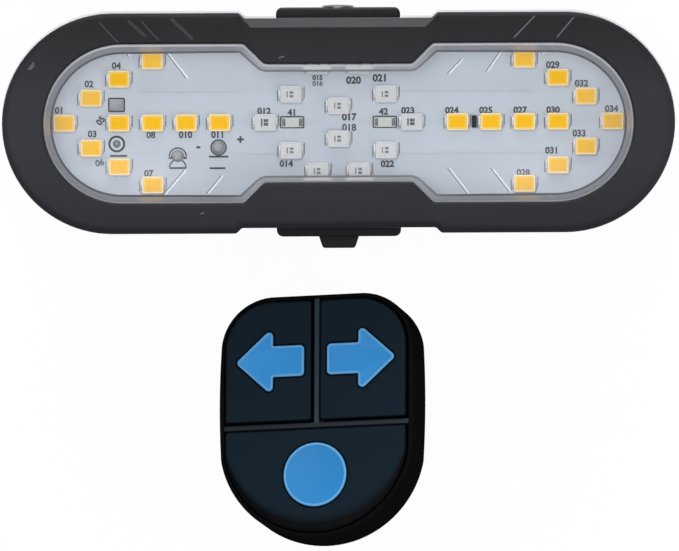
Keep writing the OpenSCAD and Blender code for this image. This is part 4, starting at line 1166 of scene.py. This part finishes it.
# Power pad and power key: a rubber pad bonded on the upper edge, with a round key in its middle.
# The key's stem passes through the tub's wall and pushes the side switch.
SHARP = 0.05 * MM
PAD_EDGE = 0.4 * MM
PAD_ROUND = 0.95 * MM
KEY_HOLE_R = 2.9 * MM
KEY_R = 2.7 * MM
KEY_RIM = 0.42 * MM
KEY_DISH_R = 1.6 * MM
KEY_DISH = 0.25 * MM
KEY_DISH_SLOPE = ((0.1 * MM, 0.0), (-0.1 * MM, 0.08 * MM), (-0.5 * MM, KEY_DISH))
KEY_MIDDLE_R = 0.2 * MM
KEY_RIM_STRETCH = 1.7
KEY_STEM_R = 1.5 * MM
KEY_STEM_EDGE = 0.2 * MM
KEY_LIFT = 0.75 * MM
pad_low, pad_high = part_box("power_pad")


def slab(name, corners, low, high, edge, *materials):
    """A thick plate from a path's corners, between two heights, with rounded edges."""
    levels = [(side, low + edge - up) for side, up in reversed(arc(edge, 4))]
    levels += [(side, high - edge + up) for side, up in arc(edge, 4)]
    return skin(name, rings_of(corners, levels), *materials)


pad_corners = [(pad_high.x, pad_low.y, SHARP, 2), (pad_high.x, pad_high.y, PAD_ROUND, 8),
               (pad_low.x, pad_high.y, PAD_ROUND, 8), (pad_low.x, pad_low.y, SHARP, 2)]
pad = slab("rubber_power_pad", pad_corners, pad_low.z, pad_high.z, PAD_EDGE, soft_rubber)
carve(pad, rod("hole", (0, pad_low.y - MM, key_z), (0, pad_high.y + MM, key_z), KEY_HOLE_R))
paint(pad, soft_rubber)
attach(pad, "lamp")
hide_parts("power_pad")

cap_start = pad_low.y + KEY_LIFT - key_low.y
reach = key_high.y - key_low.y
key_profile = [(KEY_STEM_R - KEY_STEM_EDGE, 0.0), (KEY_STEM_R, KEY_STEM_EDGE), (KEY_STEM_R, cap_start),
               (KEY_R, cap_start), (KEY_R, reach - KEY_RIM)]
key_profile += [(KEY_R - KEY_RIM_STRETCH * side, reach - KEY_RIM + up) for side, up in arc(KEY_RIM, 6)][1:]
key_profile += [(KEY_DISH_R + out, reach - down) for out, down in KEY_DISH_SLOPE]
key_profile += [(KEY_MIDDLE_R, reach - KEY_DISH)]
key_rubber = moulded("key_rubber", RUBBER_BLACK, 0.24, 0.18, 0.2, Specular_IOR_Level=1.0)
key = lathe("round_power_key", key_profile, key_rubber, sides=64)
key.data.transform(Matrix.Translation((0, key_low.y, key_z)) @ Matrix.Rotation(-math.pi / 2, 4, "X"))
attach(key, "power_button")
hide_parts("power_key")

# Port cover: a rubber flap with a plug for the charging port, a pull tab and a hinge bead.
# The bead sits in the tub's groove, and the flap swings down on it.
COVER_THICK = 1.9 * MM
COVER_GAP = 0.15 * MM
COVER_EDGE = 0.35 * MM
COVER_ROUND = 1.05 * MM
BEAD_R = 0.8 * MM
BEAD_IN = 1.2 * MM
PLUG_HALF = (4.47 * MM, 1.6 * MM)
PLUG_IN = 0.7 * MM
PLUG_ROOT = 0.2 * MM
PLUG_ROUND = 0.4 * MM
TAB_HALVES = (3.45 * MM, 2.65 * MM)
TAB_ROOT = 0.4 * MM
TAB_ROUND = 0.6 * MM
TAB_EDGE = 0.35 * MM
TAB_HALF_THICK = 1.25 * MM
plate_y1 = hinge_y - COVER_GAP
plate_y0 = plate_y1 - COVER_THICK
plate_corners = [(cover_low.x, plate_y1, SHARP, 2), (cover_low.x, plate_y0, COVER_ROUND, 8),
                 (cover_high.x, plate_y0, COVER_ROUND, 8), (cover_high.x, plate_y1, SHARP, 2)]
plate = slab("plate", plate_corners, hinge_z + COVER_GAP, cover_high.z, COVER_EDGE, soft_rubber)
bead = rod("bead", (cover_low.x + BEAD_IN, hinge_y, hinge_z), (cover_high.x - BEAD_IN, hinge_y, hinge_z),
           BEAD_R, soft_rubber)
plug = block("plug", (-PLUG_HALF[0], plate_y1 - PLUG_ROOT, port_z - PLUG_HALF[1]),
             (PLUG_HALF[0], hinge_y + PLUG_IN, port_z + PLUG_HALF[1]), PLUG_ROUND, soft_rubber)
root_half, tip_half = TAB_HALVES
tab_corners = [(-root_half, plate_y0 + TAB_ROOT, SHARP, 2), (-tip_half, cover_low.y, TAB_ROUND, 6),
               (tip_half, cover_low.y, TAB_ROUND, 6), (root_half, plate_y0 + TAB_ROOT, SHARP, 2)]
pull_tab = slab("pull_tab", tab_corners, port_z - TAB_HALF_THICK, port_z + TAB_HALF_THICK, TAB_EDGE,
                soft_rubber)
cover = join("rubber_port_cover", [plate, bead, plug, pull_tab])
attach(cover, "port_cover")
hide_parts("usb_cover")

# Remote, inner pieces: board, switches, chip, coin cell with its clip, and the rubber key mat.
# They are stacked between the two shells and held by four screws from the back.
REMOTE_SPIN = Matrix.Rotation(math.radians(-0.5), 4, "Z")
press = next(j for j in frame["joints"] if j["name"] == "mode_press")
face_normal = -Vector(press["axis"])
roll = -math.asin(face_normal.x)
pitch = math.atan2(face_normal.y, face_normal.z)
base_mount = next(m for m in frame["record"]["mounts"] if m["name"] == "handlebar_base_face")
base_spot = Vector(base_mount["pos_m"])
back_level = min(face_normal.dot(v.co) for v in nodes["remote_lower_shell"].data.vertices)
seat_z = (back_level - face_normal.x * base_spot.x - face_normal.y * base_spot.y) / face_normal.z
remote_place = (Matrix.Translation((base_spot.x, base_spot.y, seat_z)) @ Matrix.Rotation(-pitch, 4, "X")
                @ Matrix.Rotation(-roll, 4, "Y") @ REMOTE_SPIN)
remote_flat = remote_place.inverted()
CLIP_BRASS = (0.55, 0.43, 0.2)
MAT_GREY = (0.03, 0.03, 0.033)
dress(board_green, "remote_board")
dress(bright_steel, "remote_switches", "coin_cell")
dress(chip_resin, "remote_chip")
dress(ivory_plastic, "left_plunger", "right_plunger", "mode_plunger")
dress(moulded("clip_brass", CLIP_BRASS, 0.35, 0.25, 0.3, 0.1, Metallic=1.0), "cell_clip")
dress(moulded("mat_rubber", MAT_GREY, 0.7, 0.25, 0.5), "key_mat")


def remote_level(node, top):
    """Lowest or highest level of a CAD node above the remote's back plane."""
    levels = [(remote_flat @ v.co).z for v in nodes[node].data.vertices]
    return max(levels) if top else min(levels)


# Handlebar base: a wedge of soft rubber bonded to the remote's back, so that the keys face the rider.
# A slot through it takes the strap that holds it on the bar.
BASE_INSET = 5.6 * MM
REMOTE_HALF_W = 16.4 * MM
REMOTE_HALF_L = 20.45 * MM
CORNER_R = 9.0 * MM
SIDE_R = 7.9 * MM
SIDE_DROP = 14.65 * MM
SIDE_BULGE = 0.25 * MM
BULGE_FADE = 0.7 * MM
SIDE_STEPS = 8
SLOT = (-13.0 * MM, -1.0 * MM, 0.9 * MM, 5.3 * MM)
SLOT_ROUND = 0.8 * MM
BASE_ROUND = 1.0 * MM
BASE_EDGE = ((1.2 * MM, 0.0), (BASE_ROUND, 0.0), (0.3 * MM, 0.3 * MM), (0.0, BASE_ROUND), (0.0, 30.0 * MM))
CUT_HALF = 60.0 * MM
side_x = REMOTE_HALF_W - SIDE_R
side_y = SIDE_DROP - REMOTE_HALF_L
low_r = (side_x ** 2 + SIDE_DROP ** 2 - SIDE_R ** 2) / (2 * (SIDE_DROP - SIDE_R))
low_y = low_r - REMOTE_HALF_L
meet = math.atan2(side_y - low_y, side_x)


def lower_end(inset):
    """The remote outline's three lower arcs, from its left side round to its right side."""
    return (swing(-side_x, side_y, SIDE_R - inset, math.pi, math.pi - meet, 24)
            + swing(0.0, low_y, low_r - inset, math.pi - meet, 2 * math.pi + meet, 40)[1:]
            + swing(side_x, side_y, SIDE_R - inset, meet, 0.0, 24)[1:])


def remote_path(inset):
    """The remote's outline, moved inwards: two round upper corners, bowed sides, three lower arcs."""
    x, y = REMOTE_HALF_W - CORNER_R, REMOTE_HALF_L - CORNER_R
    radius = CORNER_R - inset
    bow = SIDE_BULGE * max(0.0, 1 - inset / BULGE_FADE)
    right = []
    for k in range(1, SIDE_STEPS):
        t = k / SIDE_STEPS
        right.append((REMOTE_HALF_W - inset + 4 * bow * t * (1 - t), side_y + (y - side_y) * t))
    left = [(-x_right, y_right) for x_right, y_right in reversed(right)]
    return (swing(x, y, radius, 0.0, math.pi / 2, 24) + swing(-x, y, radius, math.pi / 2, math.pi, 24)
            + left + lower_end(inset) + right)


def remote_ring(inset, z):
    """One ring of the remote's outline, moved inwards by inset."""
    return [(x, y, z) for x, y in remote_path(inset)]


def on_remote(thing):
    """Tilts a piece made flat on the remote's back plane into its place."""
    thing.data.transform(remote_place)
    return thing


base_rings = []
for side, up in BASE_EDGE:
    turned = [REMOTE_SPIN @ Vector((x, y, up)) for x, y in remote_path(BASE_INSET + side)]
    base_rings.append([(base_spot.x + v.x, base_spot.y + v.y, v.z) for v in turned])
base = skin("wedge_base", base_rings, soft_rubber)
carve(base, on_remote(block("above", (-CUT_HALF, -CUT_HALF, 0.0), (CUT_HALF, CUT_HALF, CUT_HALF), 0.0)))
carve(base, block("slot", (base_spot.x - CUT_HALF, base_spot.y + SLOT[0], SLOT[2]),
                  (base_spot.x + CUT_HALF, base_spot.y + SLOT[1], SLOT[3]), SLOT_ROUND))
paint(base, soft_rubber)
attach(base, "remote")
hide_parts("handlebar_base")

# Remote shells: a deep lower shell and an upper shell with a thin rim, moulded in near-black plastic.
# A T-shaped divider in the upper shell parts the three keys; its cross bar is painted a darker blue than its
# upright bar, as painted shade.
SHELL_BLACK = (0.0042, 0.0042, 0.0045)
BAR_BLUE = (0.020, 0.035, 0.048)
CROSS_SHADE_BLUE = (0.013, 0.018, 0.026)
SHELL_WALL = 1.4 * MM
RIM_WALL = 0.75 * MM
RIM_WIDE = 0.65
RIM_DROP = 1.0 * MM
BACK_ROUND = 2.5 * MM
BACK_FLAT = 0.2 * MM
SPLIT_LINE = 0.12 * MM
shell_plastic = moulded("shell_plastic", SHELL_BLACK, 0.7, 0.2, 0.3, 0.2, Specular_IOR_Level=0.0)
rim_plastic = moulded("rim_plastic", SHELL_BLACK, 0.6, 0.2, 0.3, 0.2, Specular_IOR_Level=0.0)
bar_plastic = moulded("bar_plastic", BAR_BLUE, 0.5, 0.2, 0.3, 0.15, Specular_IOR_Level=0.1)
# Painted shade: the divider's cross bar gets a darker copy of the bar's blue.
cross_plastic = moulded("cross_plastic", CROSS_SHADE_BLUE, 0.5, 0.2, 0.3, 0.15, Specular_IOR_Level=0.1)
split_z = remote_level("remote_upper_shell", False)
rim_z1 = remote_level("remote_upper_shell", True)
lower_rings = [remote_ring(BACK_ROUND + BACK_FLAT, 0.0)]
lower_rings += [remote_ring(side, BACK_ROUND - up) for side, up in reversed(arc(BACK_ROUND))]
lower_rings += [remote_ring(0.0, split_z - SPLIT_LINE), remote_ring(SPLIT_LINE, split_z),
                remote_ring(SHELL_WALL, split_z), remote_ring(SHELL_WALL, SHELL_WALL)]
lower_shell = skin("deep_lower_shell", lower_rings, shell_plastic)

BOSS_X = 13.2 * MM
BOSS_YS = (4.2 * MM, -6.5 * MM)
REMOTE_WELL_R = 1.7 * MM
REMOTE_WELL_DEPTH = 1.3 * MM
boss_spots = [(side * BOSS_X, y) for side in (-1, 1) for y in BOSS_YS]
carve(lower_shell, *[rod("well", (x, y, -MM), (x, y, REMOTE_WELL_DEPTH), REMOTE_WELL_R)
                     for x, y in boss_spots])
paint(lower_shell, shell_plastic)
on_remote(lower_shell)
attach(lower_shell, "remote")
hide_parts("remote_lower_shell")

KEY_GAP = 1.3 * MM
SPLIT_Y = -1.5 * MM
BAR_WIDTH = 0.9 * MM
BAR_ROUND = 0.2 * MM
BAR_END = 0.4 * MM
BAR_SUNK = 0.2 * MM
BAR_DEEP = 2.0 * MM
RIM_EDGE = 0.1 * MM
bar_top = rim_z1 - BAR_SUNK
bar_low = rim_z1 - BAR_DEEP
upper_rings = [remote_ring(0.0, split_z + SPLIT_LINE), remote_ring(0.0, rim_z1 - RIM_DROP)]
upper_rings += [remote_ring(side * RIM_WIDE, rim_z1 - RIM_DROP + up) for side, up in arc(RIM_DROP)[1:]]
upper_rings += [remote_ring(RIM_WALL - RIM_EDGE, rim_z1), remote_ring(RIM_WALL, rim_z1 - RIM_EDGE),
                remote_ring(RIM_WALL, bar_low), remote_ring(SHELL_WALL, bar_low),
                remote_ring(SHELL_WALL, split_z), remote_ring(SPLIT_LINE, split_z)]
upper_shell = skin("upper_shell_rim", upper_rings, rim_plastic, around=True)
bars = [block("bar", (-REMOTE_HALF_W + BAR_END, SPLIT_Y - BAR_WIDTH / 2, bar_low),
              (REMOTE_HALF_W - BAR_END, SPLIT_Y + BAR_WIDTH / 2, bar_top), BAR_ROUND, cross_plastic),
        block("bar", (-BAR_WIDTH / 2, SPLIT_Y, bar_low),
              (BAR_WIDTH / 2, REMOTE_HALF_L - BAR_END, bar_top), BAR_ROUND, bar_plastic)]
upper_shell = on_remote(join("upper_shell_rim", [upper_shell] + bars))
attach(upper_shell, "remote")
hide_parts("remote_upper_shell")

REMOTE_SCREW = (1.5 * MM, 1.2 * MM, 0.8 * MM)
REMOTE_TURN = 0.3
REMOTE_TURN_STEP = 0.6
remote_screw_low = remote_level("remote_screws", False)
remote_screw_top = remote_level("remote_screws", True)
remote_screw = cross_screw(*REMOTE_SCREW, remote_screw_top - remote_screw_low)
remote_screws = lay_out("remote_cross_screws", remote_screw, bright_steel,
                        [(x, y, remote_screw_low, REMOTE_TURN + REMOTE_TURN_STEP * k)
                         for k, (x, y) in enumerate(boss_spots)])
on_remote(remote_screws)
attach(remote_screws, "remote")
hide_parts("remote_screws")

# Remote keys: three caps in fine-textured dark blue plastic, each on a stem over its switch.
# Their faces stand a little out of the rim, and painted shade darkens their colour to near black down the rounded
# edges.
KEY_BLUE_BLACK = (0.0042, 0.0108, 0.018)
KEY_EDGE_SHADE = (0.0008, 0.0012, 0.0018)
KEY_INSET = 1.0 * MM
KEY_THICK = 1.9 * MM
KEY_EDGE = 0.4 * MM
LOW_EDGE = 8.0
EDGE_SHADE_DEPTH = 0.09 * MM
KEY_CORNER = 0.6 * MM
KEY_FLAT = 0.15 * MM
LEAST_ROUND = 0.02 * MM
CAP_STEM_R = 1.7 * MM
CAP_STEM_ROOT = 0.2 * MM
ARROW_SPOT = (7.65 * MM, 9.3 * MM)
MODE_Y = -9.95 * MM
key_plastic = moulded("key_plastic", KEY_BLUE_BLACK, 0.52, 0.16, 0.35, 0.12, Specular_IOR_Level=0.04)
key_colour, key_place, key_face = colour_of(key_plastic)
# Painted shade: below the face's level the caps' colour darkens to near black within a small depth, down the
# rounded edges.
face_level = max(face_normal.dot(v.co) for v in nodes["left_key"].data.vertices)
key_height = key_place.add("ShaderNodeVectorMath", {"operation": "DOT_PRODUCT"},
                           {0: key_place, 1: face_normal}, output="Value")
edge_shade = key_place.add("ShaderNodeMath", {"operation": "DIVIDE", "use_clamp": True},
                     {0: face_level - key_height, 1: EDGE_SHADE_DEPTH})
key_place.feed(key_colour, edge_shade.mix(key_face, tone(KEY_EDGE_SHADE, 1.0)))
key_top = remote_level("left_key", True)
key_z0 = key_top - KEY_THICK
stem_low = remote_level("left_key", False)
half_gap = KEY_GAP / 2
arrow_left = -REMOTE_HALF_W + KEY_INSET
arrow_top = REMOTE_HALF_L - KEY_INSET
arrow_corners = [(-half_gap, SPLIT_Y + half_gap, KEY_CORNER, 5), (-half_gap, arrow_top, KEY_CORNER, 5),
                 (arrow_left, arrow_top, CORNER_R - KEY_INSET, 16),
                 (arrow_left, SPLIT_Y + half_gap, KEY_CORNER, 5)]
key_levels = [(0.0, key_z0), (0.0, key_top - KEY_EDGE)]
key_levels += [(side, key_top - KEY_EDGE + up) for side, up in arc(KEY_EDGE, 5)][1:]
key_levels += [(KEY_EDGE + KEY_FLAT, key_top)]


def mode_path(inset):
    """Outline of the round key's half of the face, moved inwards, and more so toward its lower end."""
    top = SPLIT_Y - half_gap - inset
    side = REMOTE_HALF_W - KEY_INSET - inset
    radius = max(KEY_CORNER - inset, LEAST_ROUND)
    lower = []
    for (x0, y0), (x1, y1) in zip(lower_end(KEY_INSET), lower_end(KEY_INSET + MM)):
        share = inset / MM * (1 + LOW_EDGE * max(0.0, side_y - y0) / SIDE_DROP)
        lower.append((x0 + (x1 - x0) * share, y0 + (y1 - y0) * share))
    return (swing(side - radius, top - radius, radius, 0.0, math.pi / 2, 5)
            + swing(radius - side, top - radius, radius, math.pi / 2, math.pi, 5) + lower)


def key_cap(name, rings, stem_at):
    """A key cap with its stem, tilted into place."""
    cap = skin(name, rings, key_plastic)
    stem = rod("stem", (*stem_at, stem_low), (*stem_at, key_z0 + CAP_STEM_ROOT), CAP_STEM_R, key_plastic)
    return on_remote(join(name, [cap, stem]))


left_rings = rings_of(arrow_corners, key_levels)
right_rings = [[(-x, y, z) for x, y, z in ring] for ring in left_rings]
mode_rings = [[(x, y, z) for x, y in mode_path(inset)] for inset, z in key_levels]
left_spot, mode_spot = (-ARROW_SPOT[0], ARROW_SPOT[1]), (0.0, MODE_Y)
for side, rings, stem_at in (("left", left_rings, left_spot), ("right", right_rings, ARROW_SPOT),
                             ("mode", mode_rings, mode_spot)):
    cap = key_cap(f"{side}_key_cap", rings, stem_at)
    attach(cap, f"{side}_button")
    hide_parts(f"{side}_key")

# Key symbols: blue inlays set into the caps, an arrow on each upper key and a disc on the lower one.
# Their rounded edge is painted a paler blue as a painted highlight, for the light it lets through, and each
# symbol's blue is painted lighter or darker as painted light.
INLAY_BLUE = (0.028, 0.205, 0.49)
INLAY_EDGE_HIGHLIGHT = (0.085, 0.285, 0.54)
PALE, SUNK = 1, 2
ARROW_WIDTH = 11.4 * MM
ARROW_HEIGHT = 10.4 * MM
ARROW_HEAD = 6.1 * MM
ARROW_SHAFT = 5.2 * MM
DISC_R = 5.33 * MM
EDGE_BAND = 0.35 * MM
SINK_WIDTH = 0.34 * MM
SINK_LIFT = 0.004 * MM
SINK_REACH = 0.01 * MM
SINK_DARK = (0.0012, 0.0035, 0.0075)
NECK_ROUND = 0.2 * MM
# Painted highlight: the paler blue of the symbols' rounded edge.
inlay_edge = moulded("inlay_edge", INLAY_EDGE_HIGHLIGHT, 0.35, 0.3, 0.2, 0.06, Specular_IOR_Level=0.15)
inlay_sink = moulded("inlay_sink", SINK_DARK, 0.6, 0.3, 0.2, 0.06, Specular_IOR_Level=0.02)
inlay_low = remote_level("left_arrow", False)
inlay_top = remote_level("left_arrow", True)
ARROW_ROUND = 0.7 * MM
TIP_EXTRA = 0.3 * MM
BARB_EXTRA = 0.64 * MM
tip, tail = -ARROW_WIDTH / 2 - TIP_EXTRA, ARROW_WIDTH / 2
neck = ARROW_HEAD - ARROW_WIDTH / 2
barb = ARROW_HEIGHT / 2 + BARB_EXTRA
shaft = ARROW_SHAFT / 2
left_arrow = [(tip, 0.0, ARROW_ROUND, 5), (neck, -barb, ARROW_ROUND, 5), (neck, -shaft, NECK_ROUND, 3),
              (tail, -shaft, ARROW_ROUND, 5), (tail, shaft, ARROW_ROUND, 5), (neck, shaft, NECK_ROUND, 3),
              (neck, barb, ARROW_ROUND, 5)]
disc_corners = box_path(2 * DISC_R, 2 * DISC_R, FULL_ROUND * DISC_R, 14)
sink_z = key_top + SINK_LIFT
inlay_levels = ((-SINK_WIDTH, inlay_low), (-SINK_WIDTH, sink_z), (0.0, sink_z),
                (0.04 * MM, inlay_top - 0.04 * MM), (0.12 * MM, inlay_top), (EDGE_BAND, inlay_top),
                (EDGE_BAND + 0.05 * MM, inlay_top - 0.02 * MM))
# Painted light: each symbol's blue is a lighter or darker copy, the left arrow lighter and the disc darker, for
# how light falls on them.
for side, corners, spot, mirror, painted_light in (("left", left_arrow, left_spot, 1, 1.13),
                                           ("right", left_arrow, ARROW_SPOT, -1, 1.03),
                                           ("mode", disc_corners, mode_spot, 1, 0.87)):
    inlay_blue = moulded(f"{side}_inlay_blue", tone(INLAY_BLUE, painted_light)[:3], 0.42, 0.3, 0.25, 0.06,
                         Specular_IOR_Level=0.08)
    rings = [[(mirror * x + spot[0], y + spot[1], z) for x, y, z in ring]
             for ring in rings_of(corners, inlay_levels)]
    symbol = skin(f"{side}_symbol", rings, inlay_blue, inlay_edge, inlay_sink)
    for face in symbol.data.polygons:
        if len(face.vertices) == 4:
            face.material_index = SUNK if face.center.z < key_top + SINK_REACH else PALE
    on_remote(symbol)
    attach(symbol, f"{side}_button")
    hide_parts("mode_disc" if side == "mode" else f"{side}_arrow")

# Table, light and camera: a white table top, soft lamps around it, and a long lens above the pair
# that leans a little toward the lamp's upper edge, as in the photograph.
PHOTO_SIZE = (679, 551)
PX_PER_MM = 6.118
LAMP_PX = (338.5, 123.5)
CAMERA_LEAN = math.radians(3.0)
CAMERA_ROLL = math.radians(0.25)
CAMERA_FAR = 1.6
SENSOR = 36.0
TABLE_HALF = 1.5
TABLE_CORNERS = ((-1, -1), (1, -1), (1, 1), (-1, 1))
TABLE_GREY = (0.82, 0.82, 0.82)
TABLE_SEEN = 0.96
table = piece("table_top", [(x * TABLE_HALF, y * TABLE_HALF, 0) for x, y in TABLE_CORNERS], [(0, 1, 2, 3)])
table_white, table_shader, table_wire = finish("table_white", Roughness=0.9, Specular_IOR_Level=0.0,
                                               Base_Color=tone(TABLE_GREY, 1.0))
path = table_wire.add("ShaderNodeLightPath", output="Is Camera Ray")
seen = path
for ray in ("Is Glossy Ray", "Is Transmission Ray"):
    seen = seen.math("MAXIMUM", seen, Wire(table_wire.tree, path.socket.node.outputs[ray]))
glow = table_wire.add("ShaderNodeEmission", inputs={"Color": (1.0, 1.0, 1.0, 1.0), "Strength": 1.0})
lit_table = Wire(table_wire.tree, table_shader.outputs["BSDF"])
table_mix = table_wire.add("ShaderNodeMixShader", inputs={0: seen * TABLE_SEEN, 1: lit_table, 2: glow})
table_wire.feed(table_white.node_tree.nodes["Material Output"].inputs["Surface"], table_mix)
paint(table, table_white)

world = bpy.data.worlds.new("studio")
scene.world = world
world.use_nodes = True
SKY_STRENGTH = 0.40
background = world.node_tree.nodes["Background"]
background.inputs["Color"].default_value = (1.0, 1.0, 1.0, 1.0)
background.inputs["Strength"].default_value = SKY_STRENGTH

LAMPS = (("key_light", (-0.2, 0.2, 1.2), 1.0, 9.5), ("back_light", (0.0, 1.1, 0.25), 0.8, 14.0),
         ("fill_light", (0.8, -0.4, 0.7), 0.6, 3.0))
for name, place, size, power in LAMPS:
    lamp = bpy.data.lights.new(name, "AREA")
    lamp.shape, lamp.size, lamp.energy = "DISK", size, power
    holder = bpy.data.objects.new(name, lamp)
    holder.location = place
    holder.rotation_euler = (-Vector(place)).to_track_quat("-Z", "Y").to_euler()
    scene.collection.objects.link(holder)

camera = bpy.data.cameras.new("long_lens")
camera.sensor_width = SENSOR
camera.lens = SENSOR * CAMERA_FAR / (PHOTO_SIZE[0] / PX_PER_MM * MM)
camera.clip_end = 10.0
eye = bpy.data.objects.new("long_lens", camera)
toward = Vector((0.0, math.sin(CAMERA_LEAN), math.cos(CAMERA_LEAN)))
off_x = (LAMP_PX[0] - PHOTO_SIZE[0] / 2) / PX_PER_MM * MM
off_y = (PHOTO_SIZE[1] / 2 - LAMP_PX[1]) / PX_PER_MM * MM
turn_c, turn_s = math.cos(CAMERA_ROLL), math.sin(CAMERA_ROLL)
aim = Vector((-(off_x * turn_c + off_y * turn_s),
              lamp_y - (off_y * turn_c - off_x * turn_s) / math.cos(CAMERA_LEAN), bezel_high.z))
eye.matrix_world = (Matrix.Translation(aim + toward * CAMERA_FAR) @ Matrix.Rotation(-CAMERA_LEAN, 4, "X")
                    @ Matrix.Rotation(-CAMERA_ROLL, 4, "Z"))
scene.collection.objects.link(eye)
scene.camera = eye
scene.view_settings.view_transform = "Standard"
